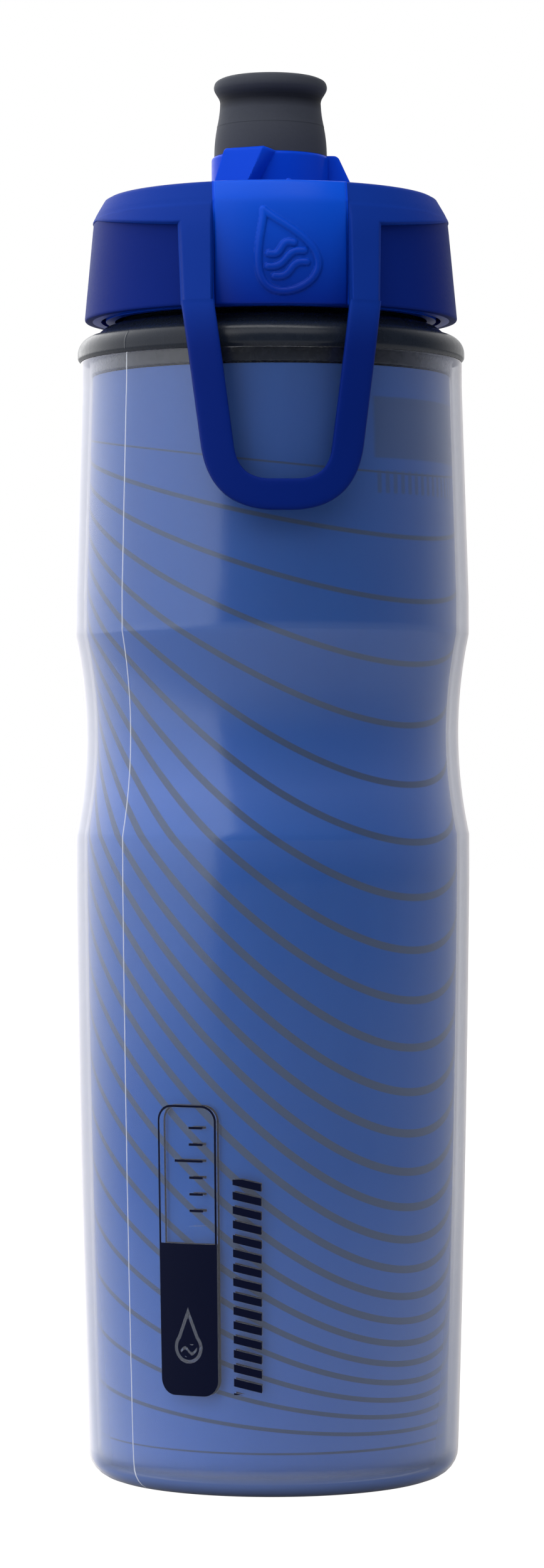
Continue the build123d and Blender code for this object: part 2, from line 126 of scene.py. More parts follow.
class StripeSizes(bpy.types.PropertyGroup):
    """The thin wavy stripes printed on the foil."""

    count: IntProperty(description="How many stripes there are", default=25, min=1)
    pitch: length("Mean distance between stripes", 7.3 * MM)
    middle: length("Mean height of the middle stripe", 103 * MM)
    swing: length("How far the middle stripe dips at its lowest", 37.7 * MM)
    dip_angle: turn("Where the stripes dip, from the front", 46.8 * DEGREE)
    thin: length("Width of the outermost stripes", 0.6 * MM)
    thicker: length("What the middle stripe adds to that width", 0.9 * MM)


class LidSizes(bpy.types.PropertyGroup):
    """The screw lid's soft band, its arms, the front panel and the finger loop."""

    bottom: length("Height of the lid's lower edge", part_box("grip_band")[0].z)
    edge: length("Height where the side turns into the bevel", 235.1 * MM)
    top: length("Height of the lid's top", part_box("grip_band")[1].z)
    bottom_radius: length("Side radius at the lower edge", 35 * MM)
    edge_radius: length("Side radius at the bevel", 33.2 * MM)
    top_radius: length("Radius at the top of the bevel", 31 * MM)
    band_depth: length("Thickness of the soft band", 1.5 * MM)
    ledge_drop: length("How far the yoke reaches below the edge in front", 4.4 * MM)
    ledge_radius: length("Radius of the yoke at its lowest", 35.8 * MM)
    arm_radius: length("Outside radius of the arms at the lower edge", 39 * MM)
    panel_half: length("Half the width of the front panel", 12.3 * MM)
    arm_top_width: length("Width of an arm at the lid's top", 6.5 * MM)
    arm_bottom_width: length("Width of an arm at the lower edge", 5.8 * MM)
    edge_round: length("Radius of the arms' and yoke's edges", 0.7 * MM)
    panel_bow: length("How far the front panel bows outwards", 0.3 * MM)
    relief: length("Height of the raised drop on the panel", 0.5 * MM)
    relief_width: length("Half the width of the raised line", 0.72 * MM)
    loop_bottom: length("Height of the loop's lower edge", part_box("carry_loop")[0].z)
    loop_bar: length("Height of the loop's lower bar", 5.6 * MM)
    loop_depth: length("Thickness of the loop's strap", 3.4 * MM)
    loop_reach: length("Outside radius of the hanging loop", -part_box("carry_loop")[0].y)
    loop_lean: FloatProperty(description="How fast the loop narrows", default=0.13)
    loop_corner: length("Outer corner radius of the loop", 10.5 * MM)


class SpoutSizes(bpy.types.PropertyGroup):
    """The twist collar with its tabs, and the spout."""

    collar_bottom: length("Height of the collar's foot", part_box("twist_collar")[0].z)
    collar_top: length("Height of the collar's ring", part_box("twist_collar")[0].z + 8.2 * MM)
    collar_radius: length("Outside radius of the ring", 11.1 * MM)
    tab_angle: turn("Where the front tab stands", -118 * DEGREE)
    tab_half: length("Half the width of a tab", 4 * MM)
    tab_foot: length("Reach of a tab at its foot", 16 * MM)
    tab_head: length("Reach of a tab at its top", 12.3 * MM)
    front_rise: length("How much higher the front tab is", 0.6 * MM)
    spout_foot: length("Radius of the spout at the collar", 10.6 * MM)
    spout_waist: length("Radius of the spout's slim part", 9.65 * MM)
    spout_bead: length("Radius of the bite bead", 10.7 * MM)
    spout_top: length("Height of the mouthpiece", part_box("spout")[1].z)
    mouth: length("Radius of the mouth", 4.6 * MM)


class BottleColours(bpy.types.PropertyGroup):
    """The colours of the bottle's materials."""

    shell: colour("Frost of the outer shell", (0.32, 0.345, 0.445))
    # Painted light: the frost is painted paler near the foot.
    painted_low_frost: colour("Frost near the foot", (0.30, 0.35, 0.50))
    rim_frost: colour("Frost where it is seen edge on", (0.75, 0.73, 0.75))
    foot_blue: colour("Shell round its foot", (0.085, 0.135, 0.32))
    # Painted contact shadow: the shell is painted darker where it stands.
    foot_contact_shadow: colour("Shell where it stands", (0.035, 0.048, 0.095))
    seam_line: colour("Parting line", (0.62, 0.65, 0.72))
    sheen: colour("Gloss of the shell", (0.9, 0.93, 1.0))
    foil: colour("Blue foil", (0.001, 0.064, 0.31))
    # Painted light: the foil is painted paler towards its top, round the waist and near the foot.
    foil_painted_upper_light: colour("Foil colour under the shoulder", (0.036, 0.082, 0.27))
    foil_painted_light: colour("Foil colour near the foot", (0.095, 0.18, 0.54))
    crinkle: colour("Paler crinkles in the foil", (0.05, 0.16, 0.42))
    stripe: colour("Thin stripes on the foil", (0.045, 0.065, 0.105))
    print_navy: colour("Dark print on the shell", (0.0008, 0.0022, 0.014))
    liner: colour("Dark liner, bead and neck", (0.007, 0.010, 0.017))
    gloss_blue: colour("Hard lid and collar", (0.0015, 0.038, 0.42))
    # Painted shade: the front panel is painted darker from its top down to its foot.
    panel_blue: colour("Top of the front panel", (0.0012, 0.056, 0.47))
    panel_painted_shade: colour("Foot of the front panel", (0.0006, 0.0085, 0.15))
    soft_blue: colour("Band and loop", (0.0008, 0.0090, 0.108))
    # Painted light: the band's raised arms and yoke are painted lighter than its recesses.
    arm_painted_light: colour("The band's raised arms and yoke", (0.003, 0.026, 0.22))
    rubber: colour("Gaskets and rings", (0.56, 0.56, 0.54))
    white: colour("Shutter and snap ring", (0.72, 0.72, 0.70))
    spout_grey: colour("Soft mouthpiece", (0.028, 0.031, 0.040))
    # Painted shade: the crease under the bite bead is painted darker.
    crease_painted_shade: colour("Crease under the bite bead", (0.004, 0.005, 0.009))
    silicone: colour("Clear valve", (0.50, 0.53, 0.55))


class StudioSizes(bpy.types.PropertyGroup):
    """The camera, lamps and surroundings."""

    camera_distance: length("From the bottle's axis", 0.86)
    camera_height: length("Above the table", 0.1293)
    camera_azimuth: turn("Round the bottle from its front", -3.2 * DEGREE)
    camera_roll: turn("Tilt of the picture", -0.13 * DEGREE)
    lens: FloatProperty(description="Focal length in millimetres", default=105.1)
    side_light: FloatProperty(description="Radiance of the left soft box", default=1.8)
    top_light: FloatProperty(description="Radiance of the top soft box", default=2.1)
    strip_light: FloatProperty(description="Radiance of the strip overhead", default=9.0)
    fill_light: FloatProperty(description="Radiance of the right fill", default=1.05)
    room: FloatProperty(description="Light from all round", default=0.3)


# ---- Curves and surfaces


def rounded(corners, steps=6):
    """A profile with eased corners. Each corner P, given as (radius, height, reach), gives way to
    the curve (1-t)^2 A + 2t(1-t) P + t^2 B, where A and B lie on its two sides at that reach."""
    table = np.array([(*corner, 0)[:3] for corner in corners], float)
    point, reach = table[:, :2], table[:, 2:]
    before = np.vstack([point[:1], point[:-1]]) - point
    after = np.vstack([point[1:], point[-1:]]) - point
    start = point + reach * before / np.maximum(np.linalg.norm(before, axis=1, keepdims=True), 1e-9)
    stop = point + reach * after / np.maximum(np.linalg.norm(after, axis=1, keepdims=True), 1e-9)
    t = np.linspace(0, 1, steps)[None, :, None]
    curve = (1 - t) ** 2 * start[:, None] + 2 * t * (1 - t) * point[:, None] + t**2 * stop[:, None]
    return apart(curve.reshape(-1, 2))


def apart(profile):
    """The same profile with repeated points left out."""
    gap = np.linalg.norm(np.diff(profile, axis=0), axis=1)
    return profile[np.concatenate([[True], gap > 1e-7])]


def finer(profile, step):
    """The profile with points added along its length, no more than the step apart."""
    along = np.concatenate([[0], np.cumsum(np.linalg.norm(np.diff(profile, axis=0), axis=1))])
    extra = np.arange(0, along[-1], step)
    places = np.unique(np.round(np.concatenate([along, extra]), 8))
    return apart(np.stack([np.interp(places, along, profile[:, k]) for k in (0, 1)], axis=1))


def turned(profile, angles):
    """A profile carried round the axis: x = r cos a, y = r sin a, z = height."""
    radius, height = profile[None, :, 0], profile[None, :, 1]
    a = angles[:, None]
    return np.stack([radius * np.cos(a), radius * np.sin(a), height + 0 * a], axis=-1)


def circle(count):
    """Angles spaced evenly over one turn, the last one left out."""
    return np.linspace(0, 2 * np.pi, count, endpoint=False)


def front_point(x, radius, height):
    """The point at a sideways distance x on the front of a cylinder: (x, -sqrt(r^2 - x^2), z)."""
    y = -np.sqrt(np.maximum(radius**2 - x**2, 0))
    return np.stack(np.broadcast_arrays(x, y, height), axis=-1)


def crown(t):
    """A wall that rises steeply from 0 and rounds over to 1: sqrt(t (2 - t)) for t from 0 to 1."""
    t = np.clip(t, 0, 1)
    return np.sqrt(t * (2 - t))


def eased_least(a, b, ease):
    """The smaller of two heights, with a rounded meeting: (a + b - sqrt((a-b)^2 + ease^2)) / 2."""
    return (a + b - np.sqrt((a - b) ** 2 + ease**2)) / 2


def ease_in(t):
    """Places from 0 to 1, crowded towards 0 as 1 - cos of an even angle."""
    return 1 - np.cos(t * np.pi / 2)


def crowded_ends(first, reach, between, last):
    """Places from 0 to 1: some crowded on 0 within a reach, the given ones, and some crowded on 1."""
    start = ease_in(np.linspace(0, 1, first)) * reach
    stop = 1 - ease_in(np.linspace(1, 0, last)) * reach
    return np.concatenate([start, between, stop])


def grid_faces(rows, columns, close_rows, close_columns):
    """Corner numbers of the squares of a grid, as whole arrays."""
    i = np.arange(rows if close_rows else rows - 1)
    j = np.arange(columns if close_columns else columns - 1)
    i, j = np.meshgrid(i, j, indexing="ij")
    i_next, j_next = (i + 1) % rows, (j + 1) % columns
    corners = [i * columns + j, i_next * columns + j, i_next * columns + j_next, i * columns + j_next]
    return np.stack(corners, axis=-1).reshape(-1, 4)


def surface(name, grid, close_rows=False, close_columns=False, caps=False, crease=40):
    """A mesh object from a grid of points, with doubles merged, open ends capped if asked, faces
    turned outwards and smooth shading except over edges sharper than the crease in degrees."""
    rows, columns = grid.shape[:2]
    mesh = bpy.data.meshes.new(name)
    faces = grid_faces(rows, columns, close_rows, close_columns).tolist()
    if caps:
        faces.append(list(range(columns)))
        faces.append([(rows - 1) * columns + j for j in range(columns)])
    mesh.from_pydata(grid.reshape(-1, 3).tolist(), [], faces)
    shape = bmesh.new()
    shape.from_mesh(mesh)
    bmesh.ops.remove_doubles(shape, verts=shape.verts, dist=1e-7)
    bmesh.ops.recalc_face_normals(shape, faces=shape.faces)
    shape.to_mesh(mesh)
    shape.free()
    mesh.polygons.foreach_set("use_smooth", np.ones(len(mesh.polygons), bool))
    mesh.set_sharp_from_angle(angle=crease * DEGREE)
    made = bpy.data.objects.new(name, mesh)
    bpy.context.scene.collection.objects.link(made)
    return made


def corners_of(piece):
    """The piece's vertices as an array."""
    flat = np.empty(len(piece.data.vertices) * 3)
    piece.data.vertices.foreach_get("co", flat)
    return flat.reshape(-1, 3)


def keep_value(piece, name, values):
    """Stores one number for each vertex, for the material to read."""
    attribute = piece.data.attributes.new(name, "FLOAT", "POINT")
    attribute.data.foreach_set("value", np.asarray(values, np.float32))


def fit(piece, body, slot, material, *stands_for):
    """Gives a piece its material, the body it moves with and the solids it stands for."""
    piece.data.materials.append(material)
    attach(piece, body)
    if stands_for:
        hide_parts(*stands_for)
    return piece


# ---- Materials


class Number:
    """A socket that carries a number. Arithmetic on it adds Math nodes."""

    def __init__(self, finish, socket):
        self.finish = finish
        self.socket = socket

    def __add__(self, other):
        return self.finish.math("ADD", self, other)

    def __sub__(self, other):
        return self.finish.math("SUBTRACT", self, other)

    def __rsub__(self, other):
        return self.finish.math("SUBTRACT", other, self)

    def __mul__(self, other):
        return self.finish.math("MULTIPLY", self, other)

    def __truediv__(self, other):
        return self.finish.math("DIVIDE", self, other)

    def __pow__(self, other):
        return self.finish.math("POWER", self, other)

    def __abs__(self):
        return self.finish.math("ABSOLUTE", self)

    __radd__ = __add__
    __rmul__ = __mul__


class Finish:
    """A material, or the world, being put together from nodes."""

    def __init__(self, owner):
        owner.use_nodes = True
        self.tree = owner.node_tree
        self.tree.nodes.clear()

    def node(self, kind, settings=None, **inputs):
        """Adds a node: first its settings, then a value or a link for each named socket."""
        made = self.tree.nodes.new(kind)
        for name, value in (settings or {}).items():
            setattr(made, name, value)
        for name, value in inputs.items():
            self.feed(made.inputs[self.socket_name(made, name)], value)
        return made

    @staticmethod
    def socket_name(made, name):
        """Turns base_color into the socket Base Color, and i3 into the socket numbered 3."""
        if name[0] == "i" and name[1:].isdigit():
            return int(name[1:])
        wanted = name.replace("_", " ").lower()
        return next(s.name for s in made.inputs if s.name.lower() == wanted)

    def feed(self, socket, value):
        """Links a socket or number to an input, or sets its value."""
        if isinstance(value, Number):
            value = value.socket
        if isinstance(value, bpy.types.NodeSocket):
            self.tree.links.new(value, socket)
        elif hasattr(value, "__len__") and socket.type == "RGBA" and len(value) == 3:
            socket.default_value = (*value, 1)
        else:
            socket.default_value = value

    def math(self, operation, *values):
        """A number worked out by one Math node."""
        inputs = {f"i{k}": value for k, value in enumerate(values)}
        return Number(self, self.node("ShaderNodeMath", {"operation": operation}, **inputs).outputs[0])

    def least(self, a, b):
        return self.math("MINIMUM", a, b)

    def most(self, a, b):
        return self.math("MAXIMUM", a, b)

    def inside(self, distance, soft):
        """1 where the distance is negative, 0 where it is positive, over a soft width."""
        settings = {"clamp": True}
        made = self.node("ShaderNodeMapRange", settings, value=distance, from_min=soft, from_max=-soft)
        return Number(self, made.outputs[0])

    def mix(self, amount, a, b):
        """The colour a where the amount is 0, b where it is 1."""
        made = self.node("ShaderNodeMix", {"data_type": "RGBA"}, i0=amount, i6=a, i7=b)
        return made.outputs[2]

    def value(self, name):
        """A number kept on the piece's vertices."""
        made = self.node("ShaderNodeAttribute", {"attribute_name": name})
        return Number(self, made.outputs["Fac"])

    def place(self):
        """Where the shaded point is on the bottle, as its vector socket and three numbers."""
        vector = self.node("ShaderNodeTexCoord").outputs["Object"]
        split = self.node("ShaderNodeSeparateXYZ", vector=vector)
        return vector, *(Number(self, out) for out in split.outputs)

    def noise(self, vector, scale, detail=2.0, roughness=0.5):
        """Even noise from 0 to 1."""
        made = self.node(
            "ShaderNodeTexNoise", vector=vector, scale=scale, detail=detail, roughness=roughness
        )
        return Number(self, made.outputs[0])

    def stretched(self, vector, scale):
        """The vector scaled apart along x, y and z."""
        return self.node("ShaderNodeMapping", vector=vector, scale=scale).outputs[0]

    def bump(self, height, distance, strength=1.0):
        """A normal that follows the height, which is given from 0 to 1."""
        made = self.node("ShaderNodeBump", height=height, distance=distance, strength=strength)
        return made.outputs[0]

    def plastic(self, **inputs):
        """A Principled shader."""
        return self.node("ShaderNodeBsdfPrincipled", **inputs).outputs[0]

    def finished(self, shader):
        """Links the shader to the output."""
        self.node("ShaderNodeOutputMaterial", surface=shader)


def material(name):
    """A new, empty material and the finish that fills it."""
    made = bpy.data.materials.new(FINISH_PREFIX + name)
    return made, Finish(made)


def box_distance(f, across, up, half_width, half_height, corner):
    """Distance to a rounded box: length(max(|p| - half + corner, 0)) - corner."""
    dx = f.most(abs(across) - (half_width - corner), 0.0)
    dy = f.most(abs(up) - (half_height - corner), 0.0)
    return f.math("SQRT", dx * dx + dy * dy) - corner


def shell_print(f, x, y, z, sizes):
    """Dark print on the shell: a rounded label with a level scale above and a solid field with a
    drop below, and beside it a ladder of short bars. Returns how much ink lies at each point."""
    around = f.math("ARCTAN2", x, y * -1.0) * sizes.grip_radius
    label_x = around + 18.7 * MM
    label_z = z - 44.95 * MM
    half_width = 6.05 * MM
    half_height = 26.35 * MM
    division = 46.2 * MM
    edge = 0.03 * MM
    label = box_distance(f, label_x, label_z, half_width, half_height, 3 * MM)
    outline = f.inside(abs(label + 0.22 * MM) - 0.22 * MM, edge)
    field = f.inside(label, edge) * f.inside(z - division, edge)
    drop_z = z - 27.4 * MM
    round_part = f.math("SQRT", label_x * label_x + drop_z * drop_z) - 2.9 * MM
    taper = (drop_z - 7.2 * MM) * 0.38 + abs(label_x) * 0.925
    tip = f.most(taper, 1.1 * MM - drop_z)
    drop = f.least(round_part, tip)
    drop_line = f.inside(abs(drop + 0.3 * MM) - 0.3 * MM, edge)
    wave = f.math("SINE", label_x * (2 * math.pi / (2.9 * MM))) * (0.5 * MM)
    waves = f.inside(abs(f.math("PINGPONG", drop_z + wave + 0.6 * MM, 0.9 * MM)) - 0.28 * MM, edge)
    water = waves * f.inside(drop + 1.1 * MM, edge) * f.inside(drop_z - 0.6 * MM, edge)
    field = field * (1 - f.most(drop_line, water) * 0.82)
    step = f.math("PINGPONG", z - division, 1.5 * MM)
    long_step = f.math("PINGPONG", z - division, 7.5 * MM)
    reach = 1.4 * MM + f.inside(long_step - 0.4 * MM, edge) * (1.5 * MM)
    tick = f.inside(step - 0.24 * MM, edge) * f.inside(abs(label_x - 3.4 * MM + reach) - reach, edge)
    tick = tick * f.inside(abs(z - 58.7 * MM) - 9.3 * MM, edge)
    bar_x = around + 6.9 * MM
    bar_slant = z + bar_x * 0.22
    bars = f.inside(f.math("PINGPONG", bar_slant, 1.3 * MM) - 0.72 * MM, edge)
    bars = bars * f.inside(abs(bar_x) - 2.7 * MM, edge) * f.inside(abs(z - 38.6 * MM) - 19.5 * MM, edge)
    front = f.inside(y, 0.1 * MM)
    return f.most(f.most(outline, field), f.most(tick, bars)) * front


def frosted_shell(colours, sizes):
    """Clear plastic with a light frost that thickens where it is seen edge on, near the foot a frost
    painted thicker and paler as painted light, a blue foot with a painted contact shadow where it
    stands, a soft gloss, the parting line and the dark print. Its inner wall shows only where it is seen edge
    on."""
    made, f = material("frosted_shell")
    vector, x, y, z = f.place()
    grain = f.noise(vector, 1500, 3)
    cloud = f.noise(vector, 38, 2)
    edge_on = Number(f, f.node("ShaderNodeLayerWeight", blend=0.5).outputs["Facing"])
    outer = f.value("outer")
    # The foot is painted opaque blue, and below about 1.1 mm it is painted darker as a contact shadow.
    foot = f.inside(z - 4.2 * MM, 1.4 * MM)
    under = f.inside(z - 1.1 * MM, 1.3 * MM)
    # Painted light: the frost is painted thicker and paler towards the foot.
    low = f.inside(z - 24 * MM, 30 * MM)
    rim = f.least((edge_on * 1.12) ** 6, 1.0)
    frost = f.least((edge_on * 1.12) ** 2.4 * 0.9, 0.9) + 0.002 + grain * 0.01 + cloud * 0.01
    frost = (frost + low * (edge_on * 0.42 + 0.03)) * outer + edge_on**6 * (1 - outer) * 0.95
    frost = f.most(frost, foot * outer)
    seam = f.value("seam")
    ink_and_shade = shell_print(f, x, y, z, sizes)
    cover = f.most(f.least(frost * (1 - ink_and_shade) + seam * 0.5, 1.0), ink_and_shade)
    paint = f.mix(rim, f.mix(low, colours.shell, colours.painted_low_frost), colours.rim_frost)
    # Painted contact shadow: the blue darkens at the very foot.
    blue = f.mix(under, colours.foot_blue, colours.foot_contact_shadow)
    paint = f.mix(foot * (1 - rim * (1 - under)), paint, blue)
    paint = f.mix(ink_and_shade, f.mix(seam, paint, colours.seam_line), colours.print_navy)
    skin = f.plastic(
        base_color=paint,
        roughness=0.42 + grain * 0.1,
        specular_ior_level=0.05,
        normal=f.bump(grain + cloud * 3.0, 0.02 * MM, 0.35),
    )
    clear = f.node("ShaderNodeBsdfTransparent").outputs[0]
    body = f.node("ShaderNodeMixShader", i0=cover, i1=clear, i2=skin).outputs[0]
    sheen = f.node(
        "ShaderNodeBsdfGlossy", color=colours.sheen, roughness=0.17, normal=f.bump(grain, 0.01 * MM, 0.3)
    ).outputs[0]
    gloss = (0.045 - edge_on * 0.026) * outer * (1 - ink_and_shade) * (1 - foot * 0.8)
    f.finished(f.node("ShaderNodeMixShader", i0=gloss, i1=body, i2=sheen).outputs[0])
    return made


def printed_foil(colours, sizes, stripes):
    """Satin blue foil, painted paler at its top, waist and foot as painted light, with thin wavy
    stripes and, high on the right, a faint plain bar over a comb of short ones."""
    made, f = material("printed_foil")
    vector, x, y, z = f.place()
    phase = f.value("stripe_phase")
    half = f.value("stripe_half")
    step = abs(f.math("FRACT", phase) - 0.5)
    on_a_stripe = f.inside(abs(phase - (stripes.count + 1) / 2) - stripes.count / 2, 0.01)
    line = f.inside(step - half, 0.012) * on_a_stripe
    # Painted light: paler towards the top, a painted highlight round the waist, paler near the foot.
    shade_start, foot_end, waist = 100 * MM, 20 * MM, 128 * MM
    height = (z - shade_start) / (sizes.foil_top - shade_start)
    painted_upper_light = f.least(f.most(height, 0.0), 1.0)
    blue = f.mix(painted_upper_light, colours.foil, colours.foil_painted_upper_light)
    painted_waist_light = f.inside(abs(z - waist) - 7 * MM, 9 * MM) * 0.5
    blue = f.mix(f.most(f.inside(z - foot_end, 40 * MM), painted_waist_light), blue, colours.foil_painted_light)
    crinkle = f.noise(f.stretched(vector, (1.0, 1.0, 0.25)), 260, 3)
    grain = f.noise(vector, 900, 2)
    blue = f.mix(crinkle * 0.25, blue, f.mix(0.5, colours.foil, colours.crinkle))
    around = f.math("ARCTAN2", x, y * -1.0)
    bar_angle, bar_z = 1.005, 194.2 * MM
    comb_angle, comb_z = 0.93, 184.3 * MM
    tooth_angle = 0.028
    bar = f.inside(abs(around - bar_angle) - 0.475, 0.012) * f.inside(abs(z - bar_z) - 5.6 * MM, 0.2 * MM)
    comb = f.inside(f.math("PINGPONG", around, tooth_angle) - tooth_angle / 2, 0.004)
    comb_width = f.inside(abs(around - comb_angle) - 0.40, 0.012)
    teeth = comb * comb_width * f.inside(abs(z - comb_z) - 2.1 * MM, 0.2 * MM)
    ink_and_shade = f.most(line * 0.85, f.most(bar, teeth) * 0.5)
    f.finished(
        f.plastic(
            base_color=f.mix(ink_and_shade, blue, colours.stripe),
            metallic=0.2,
            roughness=0.45 + grain * 0.14,
            specular_ior_level=0.08,
            normal=f.bump(crinkle + grain * 0.5, 0.05 * MM, 0.5),
        )
    )
    return made


def moulded(name, paint, lift, roughness, grain_size, grain_depth, specular=0.5, painted_shade=None, raised=None):
    """Moulded plastic or rubber: fine spark texture, faint flow clouds and uneven gloss. A second
    colour shows where the piece's own value says so: painted light on the band and loop, painted
    shade in the spout's crease. A painted shade colour, with two heights, takes over from the upper height
    down to the lower one."""
    made, f = material(name)
    vector, _, _, z = f.place()
    grain = f.noise(vector, grain_size, 3, 0.6)
    cloud = f.noise(vector, 55, 3)
    bright = tuple(min(1.0, c * lift) for c in paint)
    shade = f.mix(cloud * 0.5 + grain * 0.35, tuple(paint), bright)
    # The piece's value named raised carries painted light on the band and loop and painted shade in the
    # spout's crease.
    if raised:
        shade = f.mix(f.value("raised"), shade, raised)
    # Painted shade: a darker colour that takes over from the upper height down to the lower one.
    if painted_shade:
        low, high, ink_and_shade = painted_shade
        shade = f.mix(f.inside(z - (low + high) / 2, (high - low) / 2), shade, ink_and_shade)
    f.finished(
        f.plastic(
            base_color=shade,
            roughness=f.least(roughness + (grain - 0.5) * 0.16 + (cloud - 0.5) * 0.08, 1.0),
            specular_ior_level=specular,
            normal=f.bump(grain, grain_depth, 0.6),
        )
    )
    return made


def bottle_materials():
    """All the materials by name, made once and then found again."""
    scene = bpy.context.scene
    c = scene.bottle_colours
    # Painted shade on the front panel, darkening from 238 mm down to 214 mm.
    panel_painted_shade_span = (0.214, 0.238, tuple(c.panel_painted_shade))
    makers = {
        "frosted_shell": lambda: frosted_shell(c, scene.barrel_sizes),
        "printed_foil": lambda: printed_foil(c, scene.barrel_sizes, scene.stripe_sizes),
        "dark_liner": lambda: moulded("dark_liner", c.liner, 1.3, 0.27, 700, 0.012 * MM, 0.19),
        "gloss_blue": lambda: moulded("gloss_blue", c.gloss_blue, 1.12, 0.34, 1300, 0.006 * MM, 0.03),
        "panel_blue": lambda: moulded(
            "panel_blue", c.panel_blue, 1.1, 0.32, 1300, 0.006 * MM, 0.06, panel_painted_shade_span
        ),
        # The band and loop get painted light on their raised parts.
        "soft_blue": lambda: moulded(
            "soft_blue", c.soft_blue, 1.3, 0.55, 1900, 0.02 * MM, 0.03, raised=tuple(c.arm_painted_light)
        ),
        "seal_rubber": lambda: moulded("seal_rubber", c.rubber, 1.1, 0.6, 900, 0.03 * MM),
        "white_plastic": lambda: moulded("white_plastic", c.white, 1.1, 0.4, 900, 0.01 * MM),
        # The spout gets a painted shade in the crease under its bite bead.
        "soft_grey": lambda: moulded(
            "soft_grey", c.spout_grey, 1.6, 0.6, 1700, 0.03 * MM, 0.06, raised=tuple(c.crease_painted_shade)
        ),
        "clear_silicone": lambda: moulded("clear_silicone", c.silicone, 1.2, 0.35, 900, 0.01 * MM),
    }
    return {name: bpy.data.materials.get(FINISH_PREFIX + name) or make() for name, make in makers.items()}


# ---- Shell, sleeve and liner


def shell_radius(z, s):
    """Outer radius of the shell at each height: a barrel that bows by 4 b t (1 - t), a flat land,
    a waist whose depth falls off with the square of the distance from its middle, a second land,
    a straight taper and a plain rim."""
    t = (z - s.foot_corner) / (s.grip_height - s.foot_corner)
    barrel = s.foot_radius + (s.grip_radius - s.foot_radius) * t + 4 * s.bulge * t * (1 - t)
    middle, half = (s.waist_start + s.waist_end) / 2, (s.waist_end - s.waist_start) / 2
    waist = s.grip_radius - s.waist_depth * np.clip(1 - ((z - middle) / half) ** 2, 0, 1)
    run = np.clip((z - s.taper_start) / (s.rim_start - s.taper_start), 0, 1)
    taper = s.grip_radius + (s.rim_radius - s.grip_radius) * run
    return np.where(z < s.grip_height, barrel, np.where(z < s.taper_start, waist, taper))


def outer_radius(z, s):
    """Outer radius of the shell, round its foot's corner too: stand + sqrt(c^2 - (c - z)^2)."""
    c = s.foot_corner
    corner = s.foot_radius - c + np.sqrt(np.clip(c**2 - (c - z) ** 2, 0, None))
    return np.where(z < c, corner, shell_radius(z, s))


def side_heights(s, bottom, top, step):
    """Heights up the side, with one at each change of slope."""
    marks = [bottom, s.grip_height, s.waist_start, s.waist_end, s.taper_start, s.rim_start, top]
    marks = sorted(m for m in marks if bottom <= m <= top)
    return np.unique(np.round(np.concatenate([np.arange(bottom, top, step), marks]), 8))


def side(s, inset, bottom, top, step=2 * MM):
    """The side's profile at an inset from the outer wall, from the bottom up."""
    z = side_heights(s, bottom, top, step)
    return np.stack([shell_radius(z, s) - inset, z], axis=1)


def quarter(centre_radius, centre_z, size, start, stop, steps=8):
    """Part of a round corner: centre + size (cos a, sin a) from one angle to another."""
    a = np.linspace(start, stop, steps)
    return np.stack([centre_radius + size * np.cos(a), centre_z + size * np.sin(a)], axis=1)


def shell_profile(s):
    """The shell's closed half section, from the middle of its base round to the inside."""
    stand = s.foot_radius - s.foot_corner
    slope = [(0, s.push_up), (18 * MM, s.push_up, 1.5 * MM), (22 * MM, 0, 1 * MM), (stand, 0)]
    underside = rounded(slope)
    inside = rounded([(r, z + s.wall, *ease) for r, z, *ease in slope])
    corner = quarter(stand, s.foot_corner, s.foot_corner, -np.pi / 2, 0)
    inner_corner = quarter(stand, s.foot_corner, s.foot_corner - s.wall, -np.pi / 2, 0)
    outer = side(s, 0, s.foot_corner, s.shell_top - 0.3 * MM)
    lip = rounded(
        [
            (s.rim_radius, s.shell_top - 0.3 * MM),
            (s.rim_radius, s.shell_top, 0.3 * MM),
            (s.rim_radius - s.wall, s.shell_top, 0.2 * MM),
            (s.rim_radius - s.wall, s.shell_top - 0.3 * MM),
        ]
    )
    inner = side(s, s.wall, s.foot_corner, s.shell_top - 0.3 * MM)
    return apart(np.vstack([underside, corner, outer, lip, inner[::-1], inner_corner[::-1], inside[::-1]]))


def seam_strength(angle, s):
    """How much of the parting line shows at an angle: 1 on it, falling to 0 at half its width."""
    off = np.abs(np.mod(angle - s.seam_angle + np.pi / 2, np.pi) - np.pi / 2)
    return np.clip(1 - off / (s.seam_width / s.grip_radius / 2), 0, 1)


def seam_angles(count, s):
    """Angles round the bottle, crowded on the two parting lines."""
    half = s.seam_width / s.grip_radius / 2
    near = s.seam_angle + half * np.linspace(-1.5, 1.5, 9)
    return np.unique(np.round(np.mod(np.concatenate([circle(count), near, near + np.pi]), 2 * np.pi), 7))


def build_shell(s):
    """The shell: its half section carried round, with the parting line raised on the side."""
    angles = seam_angles(176, s)
    grid = turned(shell_profile(s), angles)
    radius = np.hypot(grid[..., 0], grid[..., 1])
    outside = (radius > shell_radius(grid[..., 2], s) - 0.4 * s.wall) & (grid[..., 2] > s.foot_corner)
    ridge = seam_strength(angles, s)[:, None] * outside
    grid[..., :2] *= (1 + ridge * s.seam_rise / np.maximum(radius, MM))[..., None]
    shell = surface("frosted_shell_wall", grid, close_rows=True, crease=50)
    place = corners_of(shell)
    angle = np.arctan2(place[:, 1], place[:, 0])
    wide = np.hypot(place[:, 0], place[:, 1]) > outer_radius(place[:, 2], s) - 0.4 * s.wall
    keep_value(shell, "seam", seam_strength(angle, s) * wide)
    keep_value(shell, "outer", wide)
    return shell


